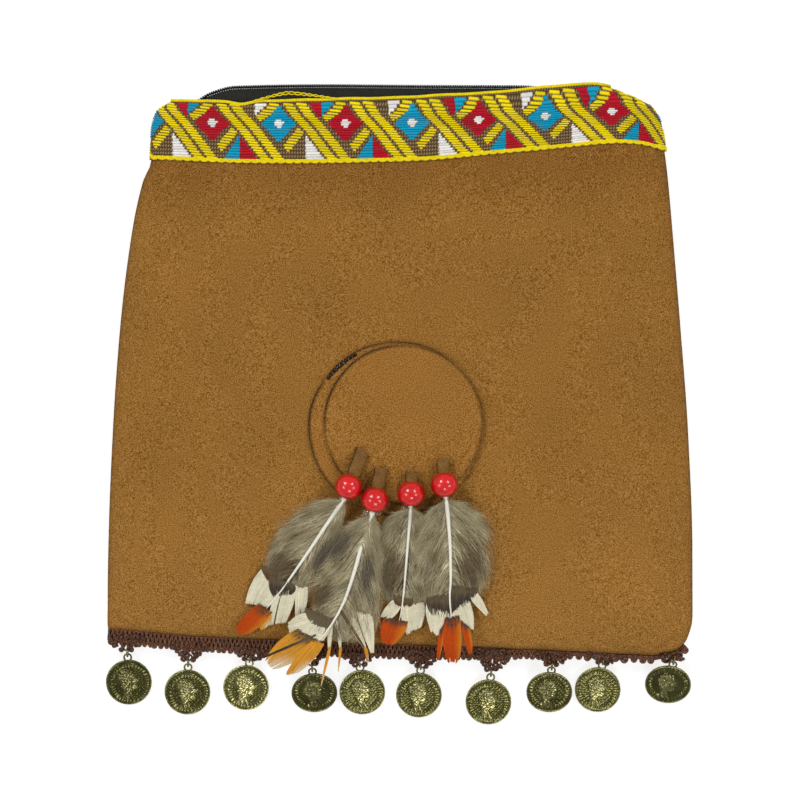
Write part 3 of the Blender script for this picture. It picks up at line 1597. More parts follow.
    def spot(self, t: Array, side: Array) -> Array:
        """Gives places on the feather.

        Args:
            t: shares along the shaft.
            side: shares of the vane's reach, below 0 to the left.

        Returns:
            Places in plan.
        """
        here = self.table(t)
        run = unit((self.table(np.minimum(t + 0.02, 1)) - self.table(np.maximum(t - 0.02, 0)))[..., :2])
        off = side * np.where(side < 0, here[..., 2], here[..., 3])
        return np.stack([here[..., 0] - run[..., 1] * off, here[..., 1] + run[..., 0] * off], axis=-1)

    def stand(self, t: Array, spots: Array, lift: Array | float) -> Array:
        """Adds the height: held in the bead at first, then lying on the pouch.

        Args:
            t: shares along the shaft.
            spots: places in plan.
            lift: mm above the resting height.

        Returns:
            Points in mm.
        """
        lying = SURFACE.front_height(spots[..., 0], spots[..., 1]) + 0.5 + 2.6 * self.layer
        z = lerp(self.bead_z - 0.6, lying, smoothstep(t, self.quill_end, self.settled)) + lift
        return np.concatenate([spots, z[..., None]], axis=-1)

    def shade(self, spots: Array, off: Array, tone: Array) -> Array:
        """Colours barbs by their place.

        Args:
            spots: places in plan, indexed by barb and station.
            off: distance from the shaft in mm.
            tone: brightness of each barb.

        Returns:
            Linear colours on a new last axis.
        """
        cloud = wander(spots[..., 0], spots[..., 1], 9.0, self.number)
        pale = np.clip(0.5 * np.exp(-off / 2.2) + 0.12 + 0.16 * cloud, 0, 1)
        colour = lerp(Plume.DOWN.colour, Plume.PALE.colour, pale[..., None])
        colour = colour * tone[:, None, None]
        for zone in self.zones:
            along, over = turned(spots[..., 0] - zone.x, spots[..., 1] - zone.y, zone.turn)
            away = np.hypot(along / zone.long, over / zone.wide)
            inside = 1 - smoothstep(away + 0.3 * (tone[:, None] - 1), 0.5, 1.2)
            colour = lerp(colour, zone.shade.colour * tone[:, None, None], inside[..., None])
        return np.clip(colour, 0, 1)

    def ribbons(self, name: str, middle: Array, half: Array, colour: Array) -> Mesh:
        """Turns barb lines into flat tapered strips and paints them.

        Args:
            name: mesh name.
            middle: middle lines, indexed by barb, station and axis.
            half: half-widths.
            colour: linear colours.

        Returns:
            The painted mesh.
        """
        run = headings(middle[..., :2], False)
        over = np.stack([-run[..., 1], run[..., 0], np.zeros(run.shape[:2])], axis=-1) * half[..., None]
        points = np.stack([middle - over, middle + over], axis=2).reshape(len(middle), -1, 3)
        mesh = repeated_mesh(name, points, strip_faces(middle.shape[1], 2))
        mesh.flip_normals()
        paint(mesh, np.repeat(colour, 2, axis=1).reshape(-1, 3))
        return mesh

    def vane_barbs(self) -> Mesh:
        """Makes the barbs that sweep from the shaft to both edges, gathered in soft locks.

        Returns:
            The painted mesh.
        """
        rng, count = self.random, self.barb_count
        lock = rng.integers(0, self.lock_count, count)
        lock_start = rng.uniform(self.quill_end * 0.95, self.down_end, self.lock_count)[lock]
        side = np.where(np.arange(self.lock_count) % 2, 1.0, -1.0)[lock]
        lock_tone = np.clip(rng.normal(1.0, 0.16, self.lock_count), 0.6, 1.5)[lock]
        tone = np.clip(lock_tone * rng.normal(1.04, 0.34, count), 0.35, 2.3)
        f = np.linspace(0, 1, self.stations)
        sweep = lerp(0.24, 0.09, lock_start) * rng.uniform(0.7, 1.25, self.lock_count)[lock]
        strewn = rng.normal(0.0, 0.02, count)[:, None] * (1 - 0.6 * f)
        end = self.down_end + rng.uniform(0.0, 0.09, count)[:, None]
        t = np.clip(lock_start[:, None] + strewn + sweep[:, None] * f**1.35, self.quill_end * 0.9, end)
        length = rng.uniform(0.74, 1.1, self.lock_count)[lock] * rng.uniform(0.6, 1.08, count)
        spots = self.spot(t, side[:, None] * length[:, None] * f**0.9)
        loose = lerp(1.3, 0.4, lock_start)[:, None] * f**1.5
        phase = rng.uniform(0, 6.28, self.lock_count)[lock][:, None] + rng.normal(0, 0.7, count)[:, None]
        spots[..., 0] += loose * np.sin(phase + 4 * f)
        spots[..., 1] += loose * np.cos(phase * 1.7 + 3 * f) * 0.6
        lift = rng.uniform(0.4, 1.5, count)[:, None] * np.sin(math.pi * (0.15 + 0.75 * f))
        off = np.linalg.norm(spots - self.spot(t, 0.0 * t), axis=-1)
        half = self.barb_half * (1.05 - f) ** 0.6 * rng.uniform(0.6, 1.3, count)[:, None]
        return self.ribbons("barbs", self.stand(t, spots, lift), half, self.shade(spots, off, tone))

    def down_hairs(self) -> Mesh:
        """Makes the fine loose hairs that stray over the edges.

        Returns:
            The painted mesh.
        """
        rng, count = self.random, self.hair_count
        start = rng.uniform(self.quill_end, self.down_end, count)
        side = rng.choice((-1.0, 1.0), count)
        tone = np.clip(rng.normal(1.35, 0.3, count), 0.7, 2.2)
        f = np.linspace(0, 1, self.stations)
        base = rng.uniform(0.3, 1.0, count)[:, None]
        t = np.minimum(start[:, None] + rng.uniform(0.02, 0.12, count)[:, None] * f, 1.0)
        spots = self.spot(t, side[:, None] * (base + 0.4 * f * rng.uniform(0.3, 1.0, count)[:, None]))
        phase = rng.uniform(0, 6.28, count)[:, None]
        curl = np.stack([np.sin(phase + 3.4 * f), np.cos(phase + 3.4 * f)], axis=-1)
        spots += 1.3 * (f**1.6)[None, :, None] * curl
        lift = rng.uniform(0.5, 1.7, count)[:, None] + 0.3 * f
        half = np.broadcast_to(self.hair_half * (1.1 - f), (count, len(f)))
        colour = self.shade(spots, np.full(spots.shape[:2], 3.0), tone)
        return self.ribbons("hairs", self.stand(t, spots, lift), half, colour)

    def tip_tuft(self, order: int, tuft: Tuft) -> Mesh:
        """Makes one smooth lock at the feather's end.

        Args:
            order: place in the stack of locks.
            tuft: the lock's corners and colours.

        Returns:
            The painted mesh.
        """
        rng, f = self.random, np.linspace(0, 1, self.tuft_stations)
        root_a, root_b, tip_a, tip_b = np.array(tuft[1:5])
        width = max(np.linalg.norm(root_b - root_a), np.linalg.norm(tip_b - tip_a))
        count, groups = int(width / self.tuft_pitch) + 8, max(1, round(width / 2.4))
        start = rng.uniform(0.0, 1.0, count)
        gathered = (np.floor(start * groups) + 0.5) / groups
        side = lerp(start[:, None], gathered[:, None], 0.12 * f**2)
        side = side + 0.12 * (2 * start[:, None] - 1) * np.sin(math.pi * f)
        short = rng.uniform(-0.05, 0.02, groups)[(start * groups).astype(int)]
        blend = tuft.shade in (Plume.DARK, Plume.UMBER, Plume.SLATE)
        ragged, rounded = (0.12, 0.0) if blend else (0.03, 0.2 * (tuft.shade is not Plume.WHITE))
        end = rng.uniform(1 - ragged, 1 + ragged, count) + short - rounded * np.abs(2 * start - 1) ** 3
        share = lerp(rng.uniform(-0.1 - 2 * ragged, 0.04, count)[:, None], end[:, None], f)
        roots, tips = lerp(root_a, root_b, side[..., None]), lerp(tip_a, tip_b, side[..., None])
        spots = lerp(roots, tips, share[..., None])
        tone = np.clip(rng.normal(1.0, 0.07, count), 0.8, 1.2)
        colour = np.broadcast_to(tuft.shade.colour, (count, len(f), 3)) * tone[:, None, None]
        if blend:
            rise = smoothstep(f[None] + rng.uniform(-0.2, 0.2, count)[:, None], 0.0, 0.5)
            colour = lerp(Plume.BROWN.colour, colour, rise[..., None])
        if tuft.shade is Plume.GOLD:
            pale = 0.85 * smoothstep(f, 0.45, 1.0)[None] * smoothstep(start, 0.3, 0.8)[:, None]
            colour = lerp(colour, Plume.WHITE.colour, pale[..., None])
        if tuft.shade is Plume.ORANGE:
            glow = 0.5 * smoothstep(start, 0.55, 1.0)
            colour = lerp(colour, Plume.GOLD.colour, glow[:, None, None])
        if tuft.root_shade:
            reach = 0.06 + 0.4 * start * (1 - start)
            dark = 1 - smoothstep(f[None] - reach[:, None], -0.05, 0.05)
            colour = lerp(colour, tuft.root_shade.colour, dark[..., None])
        lift = tuft.lift + 0.08 * order + rng.uniform(0.0, 0.2, count)[:, None] - 0.3 * f
        half = np.broadcast_to(self.tuft_half * (1.04 - f) ** 0.35, spots.shape[:2])
        return self.ribbons("tuft", self.stand(np.ones(spots.shape[:2]), spots, lift), half, colour)

    def underlay(self) -> Mesh:
        """Makes the closed layer of down under the barbs.

        Returns:
            The painted mesh.
        """

        def shape(u: Array, v: Array) -> Array:
            """Spreads the layer.

            Args:
                u: shares across the vane.
                v: shares along the down.

            Returns:
                Points in mm.
            """
            t = lerp(self.quill_end, self.down_end + 0.04, v)
            side = (2 * u - 1) * (0.72 + 0.06 * np.sin(40 * v))
            return self.stand(t, self.spot(t, side), 0.3)

        columns, rows = self.down_grid
        mesh = grid_mesh("underlay", columns, rows, shape)
        spots = coordinates(mesh)[None, :, :2]
        off = np.abs(np.tile(np.linspace(-8, 8, columns + 1), rows + 1))[None]
        paint(mesh, self.shade(spots, off, np.array([0.7]))[0])
        return mesh

    def feather(self) -> None:
        """Makes the feather and its shaft."""
        meshes = [self.underlay(), self.vane_barbs(), self.down_hairs()]
        meshes += [self.tip_tuft(order, tuft) for order, tuft in enumerate(self.tufts)]
        place(joined(f"plume_{self.number}", meshes), PLUME_BARB, Slot.FEATHER, f"feather_{self.number}")
        t = np.linspace(0.0, 0.98, 60)
        spots = self.spot(t, 0.0 * t)
        hidden = 1 - smoothstep(t, self.shaft.shown_from - 0.05, self.shaft.shown_from + 0.03)
        hidden = hidden * smoothstep(t, self.quill_end, self.quill_end + 0.1)
        laid = lerp(0.6, 1.9, smoothstep(t, self.quill_end, self.settled))
        path = self.stand(t, spots, lerp(laid, -0.6, hidden))
        radius = lerp(self.shaft.near, self.shaft.far, t**0.8)
        mesh = tubes_mesh(f"quill_{self.number}", path[None], radius[None], self.quill_sides)
        horn = lerp(Plume.HORN.colour, Plume.UMBER.colour,
                    0.5 * (1 - smoothstep(t, 0.02, 0.1))[:, None])
        paint(mesh, np.repeat(horn, self.quill_sides, axis=0))
        place(mesh, QUILL_HORN, Slot.FEATHER)


def feather_drops() -> list[FeatherDrop]:
    """Lists the four drops with their measures.

    Returns:
        The drops from left to right.
    """
    white, gold, orange, dark = Plume.WHITE, Plume.GOLD, Plume.ORANGE, Plume.DARK
    first = FeatherDrop(
        number=1, bead_x=-20.4, bead_y=-34.4, lean=21, lace_reach=15.6, lace_fall=1.0, layer=0,
        rows=(
            (-20.9, -35.2, 0.8, 0.8), (-22.4, -39.6, 0.8, 0.8), (-25.2, -43.8, 6.5, 2.8),
            (-29.2, -49.6, 10.5, 5.2), (-35.7, -59.3, 13.6, 6.2), (-41.0, -67.0, 12.0, 6.6),
            (-45.5, -73.4, 9.0, 6.6), (-48.8, -77.8, 6.8, 6.4), (-52.0, -81.8, 5.6, 5.6),
            (-54.2, -84.0, 3.0, 5.0)),
        tufts=(
            Tuft(white, (-56.0, -69.0), (-48.9, -78.1), (-61.9, -80.9), (-53.5, -82.7)),
            Tuft(white, (-49.3, -76.8), (-41.8, -75.9), (-52.4, -89.7), (-45.3, -88.7)),
            Tuft(white, (-41.4, -76.1), (-39.5, -76.1), (-41.8, -88.3), (-40.2, -86.2)),
            Tuft(white, (-39.3, -76.1), (-36.9, -75.7), (-39.7, -85.8), (-37.6, -83.7)),
            Tuft(Plume.UMBER, (-55.1, -66.8), (-49.6, -69.6), (-53.3, -71.3), (-50.7, -73.4)),
            Tuft(dark, (-51.4, -72.0), (-42.3, -74.4), (-50.7, -78.3), (-42.6, -77.4)),
            Tuft(gold, (-53.9, -84.3), (-51.6, -85.1), (-56.6, -92.2), (-52.5, -90.5)),
            Tuft(orange, (-57.4, -82.6), (-52.2, -85.8), (-67.2, -92.0), (-60.6, -94.1), Plume.UMBER)),
        zones=(
            Zone(-46.1, -67.0, 10.0, 6.0, -36, Plume.BROWN),
            Zone(-30.7, -61.6, 9.0, 3.5, 55, Plume.SLATE)),
        shaft=Shaft(1.25, 0.12, 0.0), down_end=0.64)
    second = FeatherDrop(
        number=2, bead_x=-10.0, bead_y=-39.6, lean=11, lace_reach=13.0, lace_fall=1.0, layer=1,
        rows=(
            (-10.2, -40.4, 0.8, 0.8), (-11.2, -45.4, 0.8, 0.8), (-12.6, -49.6, 5.0, 3.6),
            (-15.0, -57.0, 9.6, 7.0), (-18.5, -69.4, 11.5, 10.5), (-22.3, -80.2, 13.4, 13.4),
            (-26.8, -88.6, 8.8, 11.5), (-31.5, -95.0, 4.5, 3.0), (-34.6, -98.4, 3.0, 2.2)),
        tufts=(
            Tuft(white, (-37.0, -85.1), (-31.7, -95.3), (-44.8, -88.8), (-44.1, -93.6)),
            Tuft(white, (-37.0, -89.0), (-28.6, -92.2), (-39.1, -93.6), (-33.5, -97.8)),
            Tuft(Plume.SLATE, (-37.1, -84.5), (-27.9, -88.9), (-34.7, -90.8), (-31.4, -95.0)),
            Tuft(gold, (-42.4, -92.6), (-33.5, -97.8), (-54.4, -102.5), (-51.0, -109.0), dark),
            Tuft(gold, (-36.3, -97.4), (-31.2, -98.4), (-46.8, -109.9), (-39.1, -108.4)),
            Tuft(dark, (-38.4, -95.2), (-38.1, -95.8), (-53.2, -101.5), (-52.9, -102.3)),
            Tuft(white, (-28.7, -90.1), (-26.8, -90.1), (-28.7, -100.9), (-27.9, -101.3), lift=0.3),
            Tuft(gold, (-28.7, -100.0), (-27.9, -100.4), (-31.7, -113.7), (-31.1, -113.7), lift=0.4),
            Tuft(white, (-25.4, -89.4), (-23.7, -89.4), (-24.0, -100.2), (-23.4, -100.2), lift=0.3),
            Tuft(gold, (-24.1, -99.6), (-23.4, -99.7), (-24.8, -108.3), (-24.4, -108.3), lift=0.4),
            Tuft(white, (-21.6, -88.0), (-17.0, -88.7), (-14.0, -99.5), (-13.0, -99.9), lift=0.3),
            Tuft(Plume.UMBER, (-22.6, -86.4), (-21.6, -86.2), (-13.9, -99.5), (-13.2, -99.8), lift=0.5),
            Tuft(gold, (-14.1, -99.0), (-13.0, -99.3), (-13.0, -104.4), (-12.4, -104.4), lift=0.6),
            Tuft(white, (-16.3, -86.6), (-11.0, -87.0), (-11.6, -101.1), (-10.3, -99.9), lift=0.3)),
        zones=(
            Zone(-24.4, -58.1, 9.0, 5.0, 50, Plume.SLATE), Zone(-32.1, -77.8, 8.0, 5.0, 40, Plume.BROWN),
            Zone(-13.6, -70.0, 10.0, 3.6, 80, Plume.SLATE)),
        shaft=Shaft(1.5, 0.14, 0.42), down_end=0.74)
    third = FeatherDrop(
        number=3, bead_x=4.4, bead_y=-37.2, lean=2, lace_reach=8.4, lace_fall=0.5, layer=0,
        rows=(
            (4.4, -38.0, 0.8, 0.8), (4.2, -42.6, 0.8, 0.8), (4.0, -46.4, 7.5, 4.6),
            (3.4, -54.0, 10.2, 5.8), (2.6, -64.0, 9.8, 6.8), (1.7, -74.6, 8.8, 8.4),
            (0.9, -81.6, 5.4, 6.6), (0.2, -86.0, 3.4, 5.5), (-0.6, -88.6, 2.0, 4.0)),
        tufts=(
            Tuft(white, (-3.7, -80.5), (-0.2, -83.3), (-8.1, -86.4), (-4.4, -87.9)),
            Tuft(white, (0.9, -83.6), (9.3, -81.8), (2.7, -93.6), (8.6, -90.3)),
            Tuft(Plume.UMBER, (-2.3, -79.0), (4.8, -80.6), (0.0, -84.2), (3.3, -84.3)),
            Tuft(orange, (-6.2, -87.8), (2.4, -89.6), (-7.9, -97.3), (-2.1, -98.2), dark)),
        zones=(
            Zone(-3.0, -70.0, 12.0, 7.0, 80, Plume.BROWN),),
        shaft=Shaft(1.05, 0.1, 0.0), down_end=0.7)
    fourth = FeatherDrop(
        number=4, bead_x=17.6, bead_y=-33.6, lean=-4, lace_reach=9.8, lace_fall=0.6, layer=1,
        rows=(
            (17.6, -34.4, 0.8, 0.8), (18.2, -39.0, 0.8, 0.8), (18.8, -43.4, 7.0, 8.5),
            (19.4, -50.0, 10.5, 13.4), (20.0, -59.6, 13.0, 14.6), (20.2, -70.6, 13.0, 13.4),
            (19.8, -78.4, 9.5, 9.6), (20.2, -84.0, 8.6, 8.6), (20.6, -88.0, 5.0, 5.0),
            (20.8, -90.4, 2.5, 2.5)),
        tufts=(
            Tuft(white, (10.7, -81.8), (20.6, -86.2), (12.1, -91.8), (15.5, -94.1)),
            Tuft(white, (20.4, -85.8), (27.4, -80.2), (23.2, -89.2), (29.5, -91.2)),
            Tuft(white, (27.9, -79.2), (31.1, -77.4), (34.4, -86.2), (35.3, -84.9)),
            Tuft(dark, (11.4, -79.9), (20.2, -79.2), (12.3, -85.1), (20.3, -87.0)),
            Tuft(dark, (20.7, -76.0), (30.0, -76.3), (20.9, -83.9), (27.2, -81.1)),
            Tuft(orange, (15.8, -92.8), (17.8, -90.3), (14.2, -103.2), (15.9, -103.2), dark),
            Tuft(orange, (17.9, -88.9), (23.7, -88.1), (17.8, -104.8), (24.1, -104.8), dark),
            Tuft(orange, (24.4, -88.9), (27.7, -91.7), (27.1, -101.3), (29.1, -100.4), dark)),
        zones=(
            Zone(28.3, -66.0, 12.0, 6.0, 80, Plume.BROWN),),
        shaft=Shaft(1.2, 0.12, 0.0), down_end=0.66)
    return [first, second, third, fourth]


class Blob(NamedTuple):
    """A drop of set glue: its middle in plan, half-sizes, height above the front and display colour."""

    x: float
    y: float
    half_x: float
    half_y: float
    lift: float
    tint: tuple[int, int, int] = (236, 228, 208)


@dataclass
class GlueDrops:
    """Set glue, clear where the quills leave the beads and dark at the edge of the discs."""

    blobs: tuple[Blob, ...] = (
        Blob(-22.4, -39.4, 2.4, 1.3, 7.0), Blob(-11.7, -45.0, 3.6, 1.7, 8.4),
        Blob(-8.8, -44.8, 1.4, 1.2, 8.0), Blob(3.4, -42.8, 2.8, 1.1, 7.2))
    smear_middle: Pair = (-1.8, -11.2)
    smear_radius: float = 33.4
    smear_turns: Pair = (119.0, 143.0)
    smear_count: int = 11
    smear_tint: tuple[int, int, int] = (88, 56, 28)

    def smear(self) -> list[Blob]:
        """Lists the drops that run together along the lower disc's edge."""
        (x, y), reach = self.smear_middle, self.smear_radius
        return [Blob(x + reach * math.cos(turn), y + reach * math.sin(turn), 1.1 + 0.2 * math.sin(17 * turn),
                     0.95, 1.0, self.smear_tint)
                for turn in np.radians(np.linspace(*self.smear_turns, self.smear_count))]

    def build(self) -> None:
        """Makes all drops as one piece."""
        meshes = []
        for number, blob in enumerate([*self.blobs, *self.smear()]):
            bm = bmesh.new()
            bmesh.ops.create_icosphere(bm, subdivisions=3, radius=1.0)
            ball = np.array([vert.co for vert in bm.verts])
            swell = 1 + 0.16 * np.sin(3 * ball[:, 0] + number) * np.cos(4 * ball[:, 1] - number)
            size = np.array([blob.half_x, blob.half_y, 1.0])
            z = float(SURFACE.front_height(blob.x, blob.y)) + blob.lift
            points = ball * swell[:, None] * size + np.array([blob.x, blob.y, z])
            mesh = write(f"blob_{number}", bm, points)
            paint(mesh, linear(*blob.tint))
            meshes.append(mesh)
        place(joined("glue_drops", meshes), CLEAR_GLUE, Slot.LACE)


# Coins and trim
class CoinSpot(NamedTuple):
    """A coin's middle in plan, its tilt and turn, its brightness and where its knots begin above the ring."""

    x: float
    y: float
    tilt: float
    turn: float
    bright: float
    knots: float


COIN_SPOTS = (
    CoinSpot(-109.2, -113.6, 8, 2, 0.7, 1.8), CoinSpot(-85.6, -117.6, 8, -2, 1.0, 1.4),
    CoinSpot(-62.0, -115.8, 8, -8, 1.6, -0.2), CoinSpot(-34.4, -117.6, 28, 4, 0.75, 2.0),
    CoinSpot(-15.2, -117.6, 10, 5, 1.0, -0.4), CoinSpot(7.6, -118.8, 8, -4, 1.05, 0.2),
    CoinSpot(35.6, -121.6, 7, -5, 1.1, 1.6), CoinSpot(60.0, -117.4, 25, -4, 0.95, 0.4),
    CoinSpot(79.6, -116.6, 9, -10, 1.05, -0.6), CoinSpot(107.6, -114.2, 32, -10, 0.9, 1.4))


@dataclass
class CoinDrops:
    """Stamped brass coins with a plain head, each with its lug and jump ring."""

    radius: float = 9.2
    half: float = 0.5
    floor: float = 0.22
    wire: float = 0.38
    lug_radius: float = 1.45
    lug_at: float = 10.15
    ring_radius: float = 1.7
    ring_at: float = 12.3
    steps: int = 132
    bars: int = 38
    head_raise: float = 0.28
    outline: tuple[Pair, ...] = (
        (-0.46, -0.74), (-0.3, -0.5), (-0.36, -0.24), (-0.54, 0.06), (-0.48, 0.46),
        (-0.14, 0.66), (0.2, 0.57), (0.34, 0.32), (0.47, 0.09), (0.35, 0.02),
        (0.38, -0.14), (0.31, -0.33), (0.1, -0.35), (0.1, -0.53), (0.36, -0.74))
    hollow: Array = dye(90, 88, 50)
    worn: Array = dye(176, 170, 116)

    def smooth_outline(self) -> Array:
        """Rounds the head's corners by cutting them twice.

        Returns:
            The rounded outline.
        """
        line = np.array(self.outline)
        for _ in range(2):
            ahead = np.roll(line, -1, axis=0)
            line = np.stack([lerp(line, ahead, 0.25), lerp(line, ahead, 0.75)], axis=1).reshape(-1, 2)
        return line

    def head_depth(self, x: Array, y: Array) -> Array:
        """Gives how deep places lie inside the head.

        Args:
            x: shares of the radius to the right.
            y: shares of the radius upwards.

        Returns:
            Depths as shares of the radius, 0 outside.
        """
        start = self.smooth_outline()
        edge = np.roll(start, -1, axis=0) - start
        spot = np.stack([x, y], axis=-1)[:, None] - start
        along = np.clip(np.sum(spot * edge, axis=-1) / np.sum(edge * edge, axis=-1), 0, 1)
        away = np.linalg.norm(spot - along[..., None] * edge, axis=-1).min(axis=1)
        above = (start[:, 1] > y[:, None]) != (np.roll(start[:, 1], -1) > y[:, None])
        rise = np.where(np.abs(edge[:, 1]) < 1e-9, 1e-9, edge[:, 1])
        crossing = edge[:, 0] * (y[:, None] - start[:, 1]) / rise + start[:, 0]
        inside = np.sum(above & (x[:, None] < crossing), axis=1) % 2 == 1
        return np.where(inside, away, 0.0)

    def relief(self, x: Array, y: Array) -> Array:
        """Gives the stamped height over the field.

        Args:
            x: shares of the radius to the right.
            y: shares of the radius upwards.

        Returns:
            Heights in mm.
        """
        away, angle = np.hypot(x, y), np.arctan2(y, x)
        rim = 0.26 * smoothstep(away, 0.93, 0.955)
        reach = 0.87 + 0.03 * np.sin(5 * angle)
        band = smoothstep(away, 0.69, 0.73) * (1 - smoothstep(away - reach, -0.02, 0.02))
        uneven = 1.6 * np.sin(3 * angle) + 1.1 * np.sin(7 * angle)
        bar = smoothstep(np.cos(self.bars * angle + uneven), 0.0, 0.7)
        depth = self.head_depth(x, y)
        head = self.head_raise * smoothstep(depth, 0.0, 0.17) ** 0.65
        crown = smoothstep(-x + 0.45 * y, -0.04, 0.08) * smoothstep(y, -0.28, -0.05)
        hair = smoothstep(depth, 0.0, 0.05) * crown
        curls = 0.2 * hair * np.sin(24 * x + 3 * np.sin(13 * y)) * np.sin(22 * y + 2 * np.sin(15 * x))
        eye = 0.07 * np.exp(-((x - 0.19) / 0.04) ** 2 - ((y - 0.13) / 0.022) ** 2)
        ear = 0.1 * np.exp(-((x + 0.05) / 0.05) ** 2 - ((y - 0.04) / 0.08) ** 2)
        folds = 0.12 * smoothstep(depth, 0.0, 0.05) * smoothstep(-y, 0.4, 0.5) * np.sin(30 * x + 12 * y)
        worn = 0.05 * wander(x, y, 0.12, 6.0)
        return rim + 0.2 * band * bar + head + curls + eye + ear + folds + worn

    def placement(self, spot: CoinSpot) -> Array:
        """Gives a coin's pose.

        Args:
            spot: the coin's row.

        Returns:
            Three axes and the coin's middle as columns, in mm.
        """
        tilt, turn = math.radians(spot.tilt), math.radians(spot.turn)
        height = self.radius * math.sin(tilt) + self.half * math.cos(tilt)
        return np.column_stack([rotation(turn, tilt), (spot.x, spot.y, height)])

    def build(self) -> None:
        """Makes every coin with its lug, and its jump ring."""
        for number, spot in enumerate(COIN_SPOTS, start=1):
            self.coin(number, spot)
            self.jump_ring(number, spot)

    def coin(self, number: int, spot: CoinSpot) -> None:
        """Makes one coin.

        Args:
            number: the coin's number.
            spot: its row.
        """
        pose = self.placement(spot)
        rings = np.concatenate([np.linspace(0, 0.9, 34), [0.925, 0.935, 0.945, 0.955, 0.975]])
        under = [(ring * self.radius, -self.half) for ring in (0.0, 0.5, 0.9, 0.98)]
        side = [(self.radius, -self.half + 0.2), (self.radius, self.half - 0.2)]
        over = [(ring * self.radius, self.floor) for ring in rings[::-1]]
        heights: list[Array] = []

        def stamp(points: Array) -> Array:
            """Raises the relief and lays the coin in its place.

            Args:
                points: places on the blank, in mm.

            Returns:
                Points in mm.
            """
            top = points[:, 2] > self.floor - 0.01
            top &= np.hypot(points[:, 0], points[:, 1]) < 0.99 * self.radius
            raised = self.relief(points[:, 0] / self.radius, points[:, 1] / self.radius)
            raised = np.where(top, raised, np.where(points[:, 2] < 0, 0.12, 0.3))
            heights.append(raised)
            points = points + np.outer(np.where(top, raised, 0.0), UP)
            return carried(points, pose)

        mesh = spun_mesh("coin", under + side + over, self.steps, stamp)
        points = coordinates(mesh)
        rubbed = 0.6 + 0.4 * wander(points[:, 0], points[:, 1], 1.7, number)
        wear = smoothstep(heights[0], 0.03, 0.34) * rubbed * spot.bright
        paint(mesh, np.clip(lerp(self.hollow, self.worn, wear[:, None]) * spot.bright**0.5, 0, 1))
        lug = self.ring_mesh(self.lug_radius, self.lug_at, False, pose)
        paint(lug, lerp(self.hollow, self.worn, 0.25) * spot.bright)
        name = f"coin_{number:02d}"
        place(joined(f"{name}_stamped", [mesh, lug]), OLD_BRASS, Slot.BRASS, name)

    def ring_mesh(self, radius: float, at: float, upright: bool, pose: Array) -> Mesh:
        """Makes a round wire ring in a coin's pose.

        Args:
            radius: the ring's radius.
            at: its middle above the coin's.
            upright: whether it stands across the coin.
            pose: the coin's pose.

        Returns:
            The mesh.
        """
        angle = circle(28)
        flat, over = radius * np.cos(angle), radius * np.sin(angle)
        still = np.zeros_like(angle)
        path = np.stack([still, at + over, flat] if upright else [flat, at + over, still], axis=1)
        return tubes_mesh("ring", carried(path, pose)[None], self.wire, 8, closed=True)

    def jump_ring(self, number: int, spot: CoinSpot) -> None:
        """Makes the jump ring that joins a coin's lug to the trim's eyelet.

        Args:
            number: the coin's number.
            spot: its row.
        """
        mesh = self.ring_mesh(self.ring_radius, self.ring_at, True, self.placement(spot))
        mesh.name = f"jump_ring_{number:02d}_wire"
        paint(mesh, lerp(self.hollow, self.worn, 0.3))
        place(mesh, OLD_BRASS, Slot.BRASS, f"jump_ring_{number:02d}")


